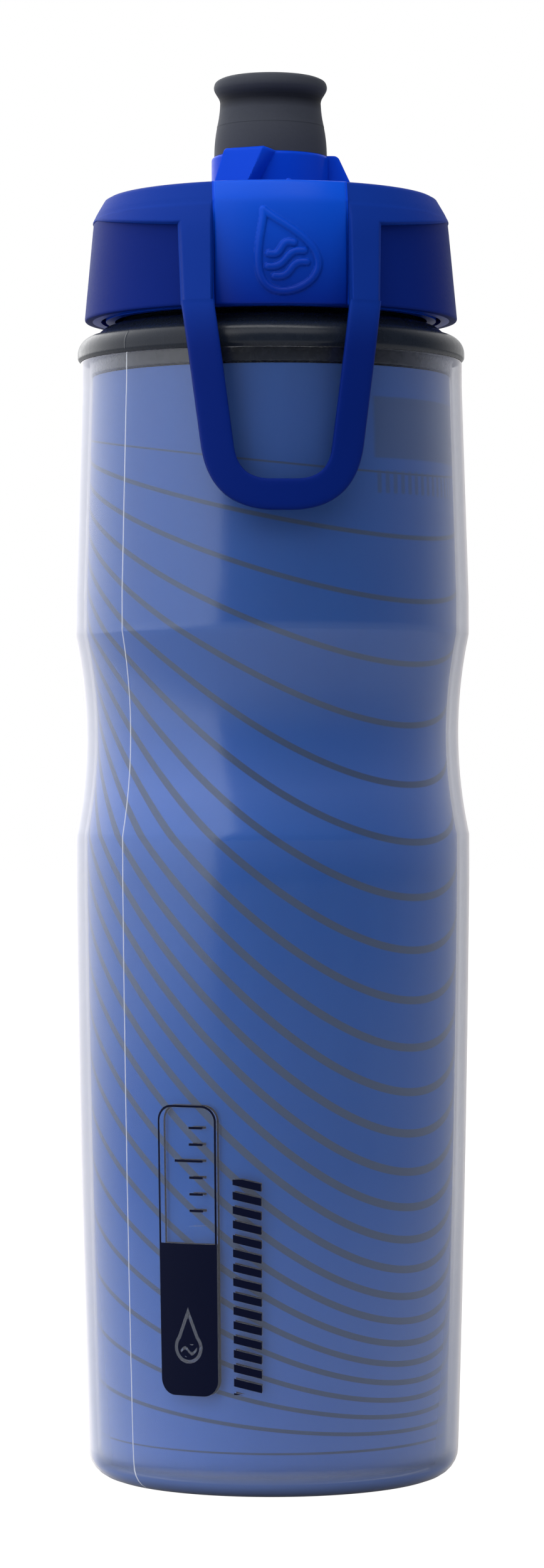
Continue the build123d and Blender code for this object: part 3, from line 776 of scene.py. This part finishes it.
def stripe_phase(angle, z, p):
    """The number k of the stripe through each point, from z = middle + pitch (k - k0) -
    swing sin(pi k / n) cos(angle - dip), solved by Newton's method, and half its width in k."""
    n, k0 = p.count + 1, (p.count + 1) / 2
    swing = p.swing * np.cos(angle - p.dip_angle)
    k = k0 + (z - p.middle) / p.pitch
    for _ in range(12):
        wave = np.pi * np.clip(k, 0, n) / n
        miss = p.middle + p.pitch * (k - k0) - swing * np.sin(wave) - z
        k = k - miss / (p.pitch - swing * np.cos(wave) * np.pi / n)
    wave = np.pi * np.clip(k, 0, n) / n
    slope = p.pitch - swing * np.cos(wave) * np.pi / n
    foil_radius = 35 * MM
    across = -p.swing * np.sin(angle - p.dip_angle) * np.sin(wave) / foil_radius
    width = (p.thin + p.thicker * np.sin(wave)) * np.sqrt(1 + across**2)
    return k, width / 2 / slope


def build_foil(s, p):
    """The foil sleeve: a closed wall carried round, its foot curled in along the shell's corner.
    It keeps the stripes' phase."""
    stand = s.foot_radius - s.foot_corner
    foot = quarter(stand, s.foot_corner, s.foot_corner - s.foil_inset, -np.pi / 2, 0)
    outer = side(s, s.foil_inset, s.foot_corner, s.foil_top, 1.2 * MM)
    inner = side(s, s.foil_inset + s.foil_depth, s.foot_corner, s.foil_top, 6 * MM)
    lip = [(stand, foot[0, 1] + 0.4 * MM)]
    grid = turned(apart(np.vstack([foot, outer, inner[::-1], lip])), circle(200))
    foil = surface("foil_sleeve", grid, close_rows=True, close_columns=True)
    place = corners_of(foil)
    phase, half = stripe_phase(np.arctan2(place[:, 0], -place[:, 1]), place[:, 2], p)
    keep_value(foil, "stripe_phase", phase + 0.5)
    keep_value(foil, "stripe_half", half)
    return foil


def liner_profile(s):
    """Half section of the liner: floor, side, skirt, bead, shoulder, neck and back down inside."""
    floor = s.push_up + s.wall + 0.3 * MM
    corner = 6 * MM
    side_z = floor + corner
    skirt_z = s.foil_top + 0.3 * MM
    bead_z = s.shell_top + 1.5 * MM
    bead_centre = s.bead_radius - s.bead_corner
    crease = bead_z + s.bead_corner
    foot = crease + 1.5 * MM
    bore_side = s.liner_inset + s.liner_wall
    radius = float(shell_radius(np.array(side_z), s)) - s.liner_inset
    skirt = s.rim_radius - s.wall - 0.02 * MM
    under_bead = [
        (s.rim_radius - s.liner_inset, skirt_z),
        (skirt, skirt_z, 0.3 * MM),
        (skirt, s.shell_top),
        (s.rim_radius, s.shell_top),
        (s.bead_radius, s.shell_top + 0.6 * MM, 0.3 * MM),
        (s.bead_radius, bead_z),
    ]
    shoulder = [
        (bead_centre, crease, 0.25 * MM),
        (bead_centre - 1.7 * MM, foot, 0.6 * MM),
        (s.neck_radius + 1 * MM, foot + 1 * MM, 0.5 * MM),
        (s.neck_radius, foot + 2 * MM, 0.5 * MM),
        (s.neck_radius, s.neck_top, 0.5 * MM),
        (s.neck_bore, s.neck_top, 0.3 * MM),
        (s.neck_bore, foot + 1 * MM, 0.8 * MM),
        (bead_centre - 2 * MM, crease - 2 * MM, 1.5 * MM),
        (bead_centre, bead_z, 1 * MM),
        (s.rim_radius - bore_side, skirt_z + s.liner_wall, 0.5 * MM),
        (s.rim_radius - bore_side, skirt_z),
    ]
    return apart(
        np.vstack(
            [
                [(0, floor)],
                quarter(radius - corner, side_z, corner, -np.pi / 2, 0),
                side(s, s.liner_inset, side_z, skirt_z, 4 * MM),
                rounded(under_bead),
                quarter(bead_centre, bead_z, s.bead_corner, 0, np.pi / 2, 18),
                finer(rounded(shoulder), 3 * MM),
                side(s, bore_side, side_z, skirt_z, 4 * MM)[::-1],
                quarter(radius - corner, side_z, corner - s.liner_wall, -np.pi / 2, 0)[::-1],
                [(0, floor + s.liner_wall)],
            ]
        )
    )


def thread_coil(start, lead, turns, root, crest, half_root, half_crest):
    """A screw ridge: a four-sided section, tapered to nothing over its two ends, carried along
    the helix x = r cos a, y = r sin a, z = start + lead a / 2 pi."""
    a = np.linspace(0, 2 * np.pi * turns, int(96 * turns))[:, None]
    end = crown(np.minimum(a, a[-1] - a) / 0.5)
    radius = np.hstack([root + 0 * a, root + (crest - root) * end, root + (crest - root) * end, root + 0 * a])
    rise = np.array([[-half_root, -half_crest, half_crest, half_root]]) * (0.4 + 0.6 * end)
    return np.stack([radius * np.cos(a), radius * np.sin(a), start + lead * a / (2 * np.pi) + rise], axis=-1)


def build_liner(s):
    """The liner, its bead and its neck, with a faint parting line, and the thread on the neck."""
    angles = seam_angles(168, s)
    grid = turned(liner_profile(s), angles)
    radius = np.hypot(grid[..., 0], grid[..., 1])
    bead = (grid[..., 2] > s.shell_top + 0.5 * MM) & (radius > s.neck_radius + 1.5 * MM)
    ridge = seam_strength(angles, s)[:, None] * bead
    grid[..., :2] *= (1 + 0.5 * ridge * s.seam_rise / np.maximum(radius, MM))[..., None]
    liner = surface("liner_and_neck", grid, close_rows=True, crease=38)
    turns = 1.5
    below_rim = 4.6 * MM
    root = s.neck_radius - 0.2 * MM
    half_root, half_crest = 1.2 * MM, 0.65 * MM
    start = s.neck_top - below_rim - turns * s.thread_lead
    coil = thread_coil(start, s.thread_lead, turns, root, s.thread_crest, half_root, half_crest)
    thread = surface("neck_thread", coil, close_columns=True, caps=True)
    return liner, thread


# ---- Lid


def lid_side(z, s):
    """Radius of the lid's side at each height: the lesser of the side's and the bevel's lines."""
    t = (z - s.bottom) / (s.edge - s.bottom)
    side_line = s.bottom_radius + (s.edge_radius - s.bottom_radius) * t
    return eased_least(side_line, bevel_line(z, s), 0.25 * MM)


def bevel_line(z, s):
    """Radius of the bevel, carried on below the edge."""
    return s.edge_radius + (s.top_radius - s.edge_radius) * (z - s.edge) / (s.top - s.edge)


def raised_side(z, s):
    """Radius of the yoke and arms: the lesser of the bevel's line and the arms' line."""
    t = (z - s.bottom) / (s.edge - s.ledge_drop - s.bottom)
    arm_line = s.arm_radius + (s.ledge_radius - s.arm_radius) * t
    return eased_least(arm_line, bevel_line(z, s), 0.9 * MM)


def arm_width(z, s):
    """Width of an arm, which grows evenly from the lid's bottom to its top."""
    t = (z - s.bottom) / (s.top - s.bottom)
    return s.arm_bottom_width + (s.arm_top_width - s.arm_bottom_width) * t


def band_heights(ledge, s):
    """Heights up the band at each column: even below the ledge, crowded on its rounding, then
    even to the edge and up the bevel. The ledge is one height for each column."""
    ledge = ledge[:, None]
    share = np.concatenate([ease_in(np.linspace(0, 1, 7)) * 0.06, np.linspace(0.1, 1, 12)])
    low = s.bottom + (ledge - s.bottom) * share
    curve = ledge + s.edge_round * ease_in(np.linspace(0.02, 1, 9))
    high = ledge + s.edge_round + (s.edge - ledge - s.edge_round) * np.linspace(0.1, 1, 7)
    bevel = s.edge + (s.top - s.edge) * np.linspace(0.12, 1, 9) + 0 * ledge
    return np.hstack([low, curve, high, bevel])


def build_band(s):
    """The soft band as a closed section at each column, from one side of the front panel round
    the back to the other. The outside is side + m (raised - side), where m is the greater of the
    arm's crown and the yoke's crown, so arms and yoke stand out with rounded edges. It keeps a
    painted light for each point: arms and yoke lighter, their rounded edges and the bevel most."""
    across = crowded_ends(9, 0.14, np.linspace(0.2, 0.8, 9), 9)
    behind = np.linspace(0, 1, 74)[1:] ** 1.25
    slope = s.ledge_drop / (s.ledge_radius - s.panel_half / 2)
    corner_x = s.panel_half + arm_width(s.edge, s)
    corner_angle = math.asin(corner_x / s.edge_radius)
    back_angle = corner_angle + behind * (np.pi - corner_angle)
    angle = np.concatenate([np.full(len(across), corner_angle), back_angle])
    ledge = s.edge - slope * np.cos(angle) * (s.ledge_radius + s.edge_radius) / 2
    ledge = np.minimum(ledge, s.edge - 1.3 * s.edge_round)
    z = band_heights(ledge, s)
    plain, raised = lid_side(z, s), raised_side(z, s)
    width = arm_width(z, s)
    f = np.concatenate([across, np.ones(len(behind))])[:, None]
    arm = crown(f * width / s.edge_round) * crown((1 - f) * width / s.edge_round)
    arm[len(across):] = 0
    yoke = crown((z - ledge[:, None]) / s.edge_round)
    yoke[:len(across)] *= crown(f[:len(across)] * width[:len(across)] / s.edge_round)
    radius = plain + np.maximum(arm, yoke) * np.maximum(raised - plain, 0)
    radius -= 0.35 * MM * (1 - crown((z - s.bottom) / (0.5 * MM))) * (1 - arm)
    radius -= 0.5 * MM * (1 - crown((s.top - z) / (0.5 * MM)))
    x = s.panel_half + f * width
    wrap = np.concatenate([np.zeros(len(across)), behind])[:, None]
    start = np.arcsin(np.clip(x / plain, -1, 1))
    round_angle = start + wrap * (np.pi - start)
    front = front_point(x, radius, z)
    back = np.stack([radius * np.sin(round_angle), -radius * np.cos(round_angle), z], axis=-1)
    outside = np.where((wrap > 0)[..., None], back, front)
    inner_z = np.array([s.top, s.edge, (s.edge + s.bottom) / 2, s.bottom])[None]
    inner_radius = lid_side(inner_z, s) - s.band_depth
    inner_front = np.arcsin(x[:, :1] / inner_radius)
    inner_angle = np.where(wrap > 0, corner_angle + wrap * (np.pi - corner_angle), inner_front)
    inside = np.stack(
        [inner_radius * np.sin(inner_angle), -inner_radius * np.cos(inner_angle), inner_z + 0 * inner_angle],
        axis=-1,
    )
    half = np.concatenate([outside, inside], axis=1)
    mirrored = half[::-1][1:] * np.array([-1, 1, 1])
    grid = np.concatenate([half, mirrored])
    band = surface("soft_band", grid, close_columns=True, caps=True, crease=42)
    place = corners_of(band)
    # Painted light: arms and yoke painted lighter, with painted highlights on their rounded edges and the
    # bevel.
    plain, raised = lid_side(place[:, 2], s), raised_side(place[:, 2], s)
    out = np.clip((np.hypot(place[:, 0], place[:, 1]) - plain) / np.maximum(raised - plain, 0.3 * MM), 0, 1)
    bevel = 0.85 * np.clip((place[:, 2] - s.edge) / (0.8 * MM) + 1, 0, 1)
    keep_value(band, "raised", np.maximum(np.maximum(0.72 * out, 4 * out * (1 - out)), bevel))
    return band


def drop_outline(count):
    """A water drop's outline, 1 high: x = w sin t (sin(t/2))^1.5, z = cos t / 2."""
    t = np.linspace(0, 2 * np.pi, count, endpoint=False)
    return np.stack([0.50 * np.sin(t) * np.abs(np.sin(t / 2)) ** 1.5, np.cos(t) / 2], axis=1)


def wave_line(count, width, rise, height):
    """A short wave: z = height + rise sin(2 pi x / width)."""
    x = np.linspace(-width / 2, width / 2, count)
    return np.stack([x, height + rise * np.sin(2 * np.pi * x / width)], axis=1)


def line_distance(x, z, line):
    """Distance from each point to the nearest point of a line."""
    away = np.hypot(x[..., None] - line[:, 0], z[..., None] - line[:, 1])
    return away.min(axis=-1)


def build_panel(s):
    """The glossy front panel: the lid's side between the arms, bowed by b (1 - (2v-1)^2), with a
    drop and three waves raised on it by h sqrt(1 - (d/w)^2) at a distance d from their lines."""
    u = np.linspace(-1, 1, 171)[:, None]
    v = np.linspace(0, 1, 151)[None]
    clear = 0.22 * MM
    half = s.panel_half - clear
    proud = 0.34 * MM
    drop_height = 15.6 * MM
    bottom, top = s.bottom - 0.2 * MM, s.top - 0.02 * MM
    x, z = half * u + 0 * v, bottom + (top - bottom) * v + 0 * u
    middle = (s.bottom + s.edge) / 2 + 0.3 * MM
    tilt = 24 * DEGREE
    along = x * math.cos(tilt) + (z - middle) * math.sin(tilt)
    up = (z - middle) * math.cos(tilt) - x * math.sin(tilt)
    drop = drop_outline(260) * drop_height
    away = line_distance(along, up, drop)
    for height in (0.1, -2.0, -4.1):
        width = (7.4 - 0.55 * abs(height + 2.6) ** 1.5) * MM
        away = np.minimum(away, line_distance(along, up, wave_line(80, width, 0.55 * MM, height * MM)))
    relief = s.relief * np.sqrt(np.clip(1 - (away / s.relief_width) ** 2, 0, 1))
    edge = np.minimum(half - np.abs(x), np.minimum(z - bottom, top - z))
    soften = 0.28 * MM * (1 - crown(edge / (0.45 * MM)))
    bow = s.panel_bow * (1 - (2 * np.clip((z - s.bottom) / (s.edge - s.bottom), 0, 1) - 1) ** 2)
    radius = lid_side(z, s) + proud + bow + relief - soften
    outside = front_point(x, radius, z)
    inside = front_point(x, lid_side(z, s) - 0.1 * MM, z)
    grid = np.concatenate([outside, inside[:, ::-1]], axis=1)
    return surface("front_panel", grid, close_columns=True, caps=True, crease=50)


def build_nub(s):
    """The moulding gate on the panel's top edge: a small dome, x and y by the sine and z by the
    cosine of the polar angle."""
    a, b = circle(20)[:, None], np.linspace(0, np.pi, 11)[None]
    size = np.array([0.55, 0.5, 0.5]) * MM
    grid = np.stack([np.cos(a) * np.sin(b), np.sin(a) * np.sin(b), np.cos(b) + 0 * a], axis=-1) * size
    centre = np.array([1.6 * MM, -s.top_radius + 0.9 * MM, s.top - 0.12 * MM])
    return surface("gate_nub", grid + centre, close_rows=True)


# ---- Finger loop


def loop_edge(t, half, bottom, corner, s):
    """One edge of the loop seen from the front, for t from 0 at its right end to 1 at its left:
    down a side that leans in, round a corner, and along the bar, as (x, z)."""
    top = s.bottom + 0.5 * MM
    foot = half - s.loop_lean * (top - bottom)
    line = rounded([(half, top), (foot, bottom, corner), (0, bottom)], steps=24)
    along = np.concatenate([[0], np.cumsum(np.linalg.norm(np.diff(line, axis=0), axis=1))])
    place = np.minimum(t, 1 - t) * 2 * along[-1]
    x = np.interp(place, along, line[:, 0])
    return np.where(t <= 0.5, x, -x), np.interp(place, along, line[:, 1])


def boxy(c, power):
    """A cosine or sine pushed towards -1 and 1, sign(c) |c|^power, for a rounded box section."""
    return np.sign(c) * np.abs(c) ** power


def build_loop(s):
    """The strap: at each step of its way a rounded box section between the inner and the outer
    edge, wrapped on a radius that eases from the arms to the reach, with the arms' painted light
    carried onto its top."""
    t = np.linspace(0, 1, 241)[:, None]
    a = circle(48)[None] + np.pi / 48
    q = 0.5 + 0.5 * boxy(np.cos(a), 0.3)
    depth = boxy(np.sin(a), 0.3)
    in_x, in_z = loop_edge(t, s.panel_half, s.loop_bottom + s.loop_bar, 0.55 * s.loop_corner, s)
    outer_half = s.panel_half + s.arm_bottom_width
    out_x, out_z = loop_edge(t, outer_half, s.loop_bottom, 1.15 * s.loop_corner, s)
    x = in_x + (out_x - in_x) * q
    z = in_z + (out_z - in_z) * q
    swing_height = 13 * MM
    painted_light_height = 9 * MM
    drop = np.clip((s.bottom - z) / swing_height, 0, 1)
    swing = 1 - (1 - drop) ** 2
    outer = s.arm_radius + (s.loop_reach - s.arm_radius) * swing
    thick = s.loop_depth - 0.2 * MM * (1 - swing)
    inner = outer - thick
    radius = (outer + inner) / 2 + depth * thick / 2
    grid = front_point(x, radius, z)
    loop = surface("finger_loop", grid, close_columns=True, caps=True, crease=45)
    place = corners_of(loop)
    # Painted light: the strap is painted lighter near the lid, fading over 9 mm below it.
    painted_light_near_lid = np.clip(1 + (place[:, 2] - s.bottom) / painted_light_height, 0, 1) ** 1.5
    keep_value(loop, "raised", painted_light_near_lid * 0.72)
    return loop


# ---- Collar and spout


def build_collar(s):
    """The twist collar: a closed section at each angle. Each tab leans from foot to head, reach /
    cos d at an angle d off its middle. Its left edge is crisp and its right flank is a ramp."""
    base = circle(240)
    step = 2 * np.pi / 3
    near = np.concatenate([s.tab_angle + k * step + np.linspace(-0.55, 0.75, 90) for k in range(3)])
    angles = np.unique(np.mod(np.concatenate([base, near]), 2 * np.pi))
    angles = angles[np.append(True, np.diff(angles) > 0.002)][:, None]
    v = crowded_ends(7, 0.08, np.linspace(0.12, 0.9, 16), 8)[None]
    number = np.round(np.mod(angles - s.tab_angle, 2 * np.pi) / step)
    off = np.mod(angles - s.tab_angle, 2 * np.pi) - number * step
    front = np.where(np.mod(number, 3) == 0, 1.0, 0.0)
    sideways = s.collar_radius * 1.12 * np.sin(off)
    slope = 1.9 * MM
    right_slope = np.clip((s.tab_half + slope - sideways) / slope, 0, 1)
    head = crown((sideways + s.tab_half) / (0.5 * MM)) * right_slope
    head = np.where(np.abs(sideways) < 2 * s.tab_half, head, 0)
    top = s.collar_top + front * s.front_rise * head
    z = s.collar_bottom + (top - s.collar_bottom) * v
    lean = s.tab_foot + (s.tab_head - s.tab_foot) * v
    right = -s.tab_half + (5.3 + 2.7 * v) * MM
    ramp = 0.6 * MM + 1.7 * MM * v
    flank = np.clip((right + ramp - sideways) / ramp, 0, 1)
    rise = crown((sideways + s.tab_half) / (0.45 * MM)) * flank
    rise = np.where(np.abs(sideways) < 2 * s.tab_half, rise, 0)
    radius = s.collar_radius + rise * np.maximum(lean / np.cos(off) - s.collar_radius, 0)
    round_top = 0.7 * MM
    radius = radius - round_top * (1 - crown((top - z) / round_top))
    radius = radius - 0.3 * MM * (1 - crown((z - s.collar_bottom) / (0.3 * MM)))
    seat = s.spout_foot + 0.08 * MM
    plug_bore = 8 * MM
    hub_bore = 8.68 * MM
    seat_z = s.collar_top - 0.02 * MM
    plug_z = s.collar_top - 3 * MM
    inner_r = np.array([[seat, seat, plug_bore, plug_bore, hub_bore, hub_bore]]) + 0 * angles
    flat_z = np.array([[seat_z, seat_z, plug_z, plug_z, s.collar_bottom]]) + 0 * angles
    inner_z = np.concatenate([top, flat_z], axis=1)
    all_r = np.concatenate([radius + 0 * z, inner_r], axis=1)
    all_z = np.concatenate([z, inner_z], axis=1)
    grid = np.stack([all_r * np.cos(angles), all_r * np.sin(angles), all_z], axis=-1)
    return surface("lock_collar", grid, close_rows=True, close_columns=True, crease=36)


def build_spout(s):
    """The mouthpiece: one closed half section, turned: foot, slim waist, bite bead, mouth, bore.
    It keeps a painted shade for the crease under the bead, strongest at the crease's middle."""
    valve_pocket = 6.58 * MM
    bore = 5.6 * MM
    throat = 5.2 * MM
    plug = 7.92 * MM
    plug_z = s.collar_top - 2 * MM
    crease_z = s.spout_top - 4.4 * MM
    bead_z = s.spout_top - 3 * MM
    valve_z = s.spout_top - 1.4 * MM
    seat_z = valve_z - 1.2 * MM
    section = rounded(
        [
            (s.spout_foot, s.collar_top, 0.1 * MM),
            (s.spout_foot - 0.1 * MM, s.collar_top + 4 * MM, 3 * MM),
            (s.spout_waist - 0.2 * MM, bead_z - 3.8 * MM, 2.6 * MM),
            (s.spout_waist - 0.2 * MM, bead_z - 1.1 * MM, 0.9 * MM),
            (s.spout_bead - 0.5 * MM, bead_z - 0.1 * MM, 0.7 * MM),
            (s.spout_bead, bead_z + 0.9 * MM, 0.5 * MM),
            (s.spout_bead - 0.25 * MM, s.spout_top - 0.9 * MM, 0.6 * MM),
            (s.spout_bead - 1.9 * MM, s.spout_top, 1.2 * MM),
            (s.mouth + 0.9 * MM, s.spout_top - 0.15 * MM, 0.8 * MM),
            (s.mouth, s.spout_top - 1 * MM, 0.3 * MM),
            (s.mouth, valve_z),
            (valve_pocket, valve_z),
            (valve_pocket, seat_z),
            (bore, seat_z),
            (bore, s.collar_top),
            (throat, s.collar_top - 0.4 * MM),
            (throat, plug_z),
            (plug, plug_z),
            (plug, s.collar_top),
        ],
        steps=8,
    )
    grid = turned(section, circle(144))
    spout = surface("soft_spout", grid, close_rows=True, close_columns=True, crease=36)
    # Painted shade in the crease under the bite bead, kept as the value named raised.
    place = corners_of(spout)
    off_crease = np.abs(place[:, 2] - crease_z) / (1.7 * MM)
    outside = np.hypot(place[:, 0], place[:, 1]) > s.spout_waist - 1.2 * MM
    keep_value(spout, "raised", np.clip(1.2 - off_crease, 0, 1) * outside * 0.85)
    return spout


# ---- Stage


def build_studio(s):
    """The floor, the camera and the light. The surroundings are white to the camera, white to
    gloss only behind the bottle, and light the rest evenly. A box at the left and one above, a
    strip overhead and a fill at the right, which gloss doesn't see, do the rest."""
    scene = bpy.context.scene
    reach = 6.0
    floor_grid = np.array([[[x, y, 0] for y in (-reach, reach)] for x in (-reach, reach)])
    floor = surface("floor", floor_grid)
    floor.data.materials.append(floor_finish())
    world = bpy.data.worlds.new("studio")
    scene.world = world
    f = Finish(world)
    ray = f.node("ShaderNodeLightPath")
    direction = f.node("ShaderNodeTexCoord").outputs["Generated"]
    split = f.node("ShaderNodeSeparateXYZ", vector=direction)
    settings = {"clamp": True}
    ramp = f.node("ShaderNodeMapRange", settings, value=split.outputs[1], from_min=0.1, from_max=0.75)
    behind = Number(f, ramp.outputs[0])
    gloss_level = 0.03 + behind * 0.97
    shown = seen_directly(f, ray)
    gloss = Number(f, ray.outputs["Is Glossy Ray"])
    level = shown + (1 - shown) * (gloss * gloss_level + (1 - gloss) * s.room)
    light = f.node("ShaderNodeBackground", color=(1, 1, 1), strength=level).outputs[0]
    f.node("ShaderNodeOutputWorld", surface=light)
    soft_box("left_box", (-0.75, 0.12, 0.55), 4.0, 1.5, s.side_light)
    soft_box("top_box", (-0.1, -0.78, 0.98), 1.3, 0.6, s.top_light)
    soft_box("overhead_strip", (-0.05, -0.2, 1.05), 0.7, 0.16, s.strip_light)
    fill = soft_box("right_box", (0.95, -0.25, 0.5), 0.8, 1.2, s.fill_light)
    fill.visible_glossy = False
    camera = bpy.data.objects.new("camera", bpy.data.cameras.new("camera"))
    scene.collection.objects.link(camera)
    camera.data.lens = s.lens
    camera.data.sensor_width = 36
    a = s.camera_azimuth
    x, y = math.sin(a) * s.camera_distance, -math.cos(a) * s.camera_distance
    camera.location = (x, y, s.camera_height)
    camera.rotation_euler = aim(a, s.camera_roll)
    scene.camera = camera
    scene.view_settings.view_transform = "Standard"


def aim(azimuth, roll):
    """The turn of a level camera that faces the axis, with the picture tilted by the roll."""
    level = Matrix.Rotation(azimuth, 3, "Z") @ Matrix.Rotation(math.pi / 2, 3, "X")
    return (level @ Matrix.Rotation(roll, 3, "Z")).to_euler("XYZ")


def seen_directly(f, ray):
    """1 for what the camera sees, through clear plastic too, and 0 for gloss and stray light."""
    return f.most(Number(f, ray.outputs["Is Camera Ray"]), Number(f, ray.outputs["Is Transmission Ray"]))


def floor_finish():
    """Matt grey that the camera and clear plastic see mostly as a white glow, so that only a part
    of the object's shadow is left. Gloss sees less of the glow."""
    made, f = material("pale_floor")
    ray = f.node("ShaderNodeLightPath")
    gloss_share = 0.3
    glow_share = 0.88
    shown = f.most(seen_directly(f, ray), Number(f, ray.outputs["Is Glossy Ray"]) * gloss_share)
    matt = f.node("ShaderNodeBsdfDiffuse", color=(0.55, 0.55, 0.55)).outputs[0]
    glow = f.node("ShaderNodeEmission", color=(1, 1, 1), strength=1.17).outputs[0]
    f.finished(f.node("ShaderNodeMixShader", i0=shown * glow_share, i1=matt, i2=glow).outputs[0])
    return made


def soft_box(name, place, width, height, radiance):
    """A rectangular lamp of a given radiance that faces the bottle's middle."""
    data = bpy.data.lights.new(name, "AREA")
    data.shape = "RECTANGLE"
    data.size, data.size_y = width, height
    data.energy = radiance * math.pi * width * height
    lamp = bpy.data.objects.new(name, data)
    bpy.context.scene.collection.objects.link(lamp)
    lamp.location = place
    bottle_middle = Vector((0, 0, 0.13))
    to_bottle = bottle_middle - Vector(place)
    lamp.rotation_euler = to_bottle.to_track_quat("-Z", "Y").to_euler()
    lamp.visible_camera = False
    return lamp


# ---- Operators


class BuildBarrel(bpy.types.Operator):
    """Build the frosted shell and the striped foil sleeve"""

    bl_idname = "bottle.build_barrel"
    bl_label = "Shell and foil"

    def execute(self, context):
        finish, sizes = bottle_materials(), context.scene.barrel_sizes
        fit(build_shell(sizes), "bottle", "frosted_shell", finish["frosted_shell"], "outer_shell")
        foil = build_foil(sizes, context.scene.stripe_sizes)
        fit(foil, "bottle", "printed_foil", finish["printed_foil"], "insulation_sleeve")
        return {"FINISHED"}


class BuildLiner(bpy.types.Operator):
    """Build the liner with its bead, neck and thread"""

    bl_idname = "bottle.build_liner"
    bl_label = "Liner and neck"

    def execute(self, context):
        finish = bottle_materials()["dark_liner"]
        liner, thread = build_liner(context.scene.barrel_sizes)
        fit(liner, "bottle", "dark_liner", finish, "inner_bottle")
        fit(thread, "bottle", "dark_liner", finish)
        return {"FINISHED"}


class BuildLid(bpy.types.Operator):
    """Build the lid's soft band, the front panel and its gate nub"""

    bl_idname = "bottle.build_lid"
    bl_label = "Lid"

    def execute(self, context):
        finish, sizes = bottle_materials(), context.scene.lid_sizes
        fit(build_band(sizes), "lid", "soft_blue", finish["soft_blue"], "grip_band")
        fit(build_panel(sizes), "lid", "gloss_blue", finish["panel_blue"])
        fit(build_nub(sizes), "lid", "gloss_blue", finish["gloss_blue"])
        return {"FINISHED"}


class BuildLoop(bpy.types.Operator):
    """Build the finger loop, which swings out from the lid's arms"""

    bl_idname = "bottle.build_loop"
    bl_label = "Finger loop"

    def execute(self, context):
        sizes = context.scene.lid_sizes
        loop = build_loop(sizes)
        loop.data.materials.append(bottle_materials()["soft_blue"])
        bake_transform(loop)
        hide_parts("carry_loop")
        return {"FINISHED"}


class BuildSpout(bpy.types.Operator):
    """Build the twist collar and the soft spout"""

    bl_idname = "bottle.build_spout"
    bl_label = "Collar and spout"

    def execute(self, context):
        finish, sizes = bottle_materials(), context.scene.spout_sizes
        fit(build_collar(sizes), "collar", "gloss_blue", finish["gloss_blue"], "twist_collar")
        fit(build_spout(sizes), "collar", "soft_grey", finish["soft_grey"], "spout")
        return {"FINISHED"}


class DressInnerParts(bpy.types.Operator):
    """Give the solids that stay their materials: lid core, seals, shutter, snap ring and valve"""

    bl_idname = "bottle.dress_inner_parts"
    bl_label = "Inner parts"

    def execute(self, context):
        finish = bottle_materials()
        kept = {
            "lid_shell": "gloss_blue",
            "lid_gasket": "seal_rubber",
            "port_gasket": "seal_rubber",
            "collar_o_ring": "seal_rubber",
            "shutter_disc": "white_plastic",
            "retaining_ring": "white_plastic",
            "spout_valve": "clear_silicone",
        }
        for node, name in kept.items():
            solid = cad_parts[node]
            for place in solid.material_slots:
                place.material = finish[name]
        return {"FINISHED"}


class BuildStudio(bpy.types.Operator):
    """Build the floor, lamps, surroundings and camera"""

    bl_idname = "bottle.build_studio"
    bl_label = "Studio"

    def execute(self, context):
        build_studio(context.scene.studio_sizes)
        return {"FINISHED"}


class BottlePanel(bpy.types.Panel):
    """Lists the bottle's pieces and sizes"""

    bl_label = "Squeeze bottle"
    bl_idname = "VIEW3D_PT_squeeze_bottle"
    bl_space_type = "VIEW_3D"
    bl_region_type = "UI"
    bl_category = "Bottle"

    def draw(self, context):
        for operator in operators:
            self.layout.operator(operator.bl_idname)
        for name, group in groups.items():
            box = self.layout.box()
            box.label(text=group.__doc__.split(".")[0])
            for field in group.__annotations__:
                label = field.replace("_", " ").capitalize()
                box.prop(getattr(context.scene, name), field, text=label)


operators = [BuildStudio, BuildBarrel, BuildLiner, BuildLid, BuildLoop, BuildSpout, DressInnerParts]
groups = {
    "barrel_sizes": BarrelSizes,
    "stripe_sizes": StripeSizes,
    "lid_sizes": LidSizes,
    "spout_sizes": SpoutSizes,
    "bottle_colours": BottleColours,
    "studio_sizes": StudioSizes,
}


def register():
    """Makes the classes and the scene's property groups known to Blender."""
    for item in [*groups.values(), *operators, BottlePanel]:
        bpy.utils.register_class(item)
    for name, group in groups.items():
        setattr(bpy.types.Scene, name, PointerProperty(type=group))


def unregister():
    """Takes them away again."""
    for name in groups:
        delattr(bpy.types.Scene, name)
    for item in [BottlePanel, *reversed(operators), *reversed(groups.values())]:
        bpy.utils.unregister_class(item)


def main():
    """Builds everything."""
    register()
    for operator in operators:
        group, name = operator.bl_idname.split(".")
        getattr(getattr(bpy.ops, group), name)()


if __name__ == "__main__":
    main()
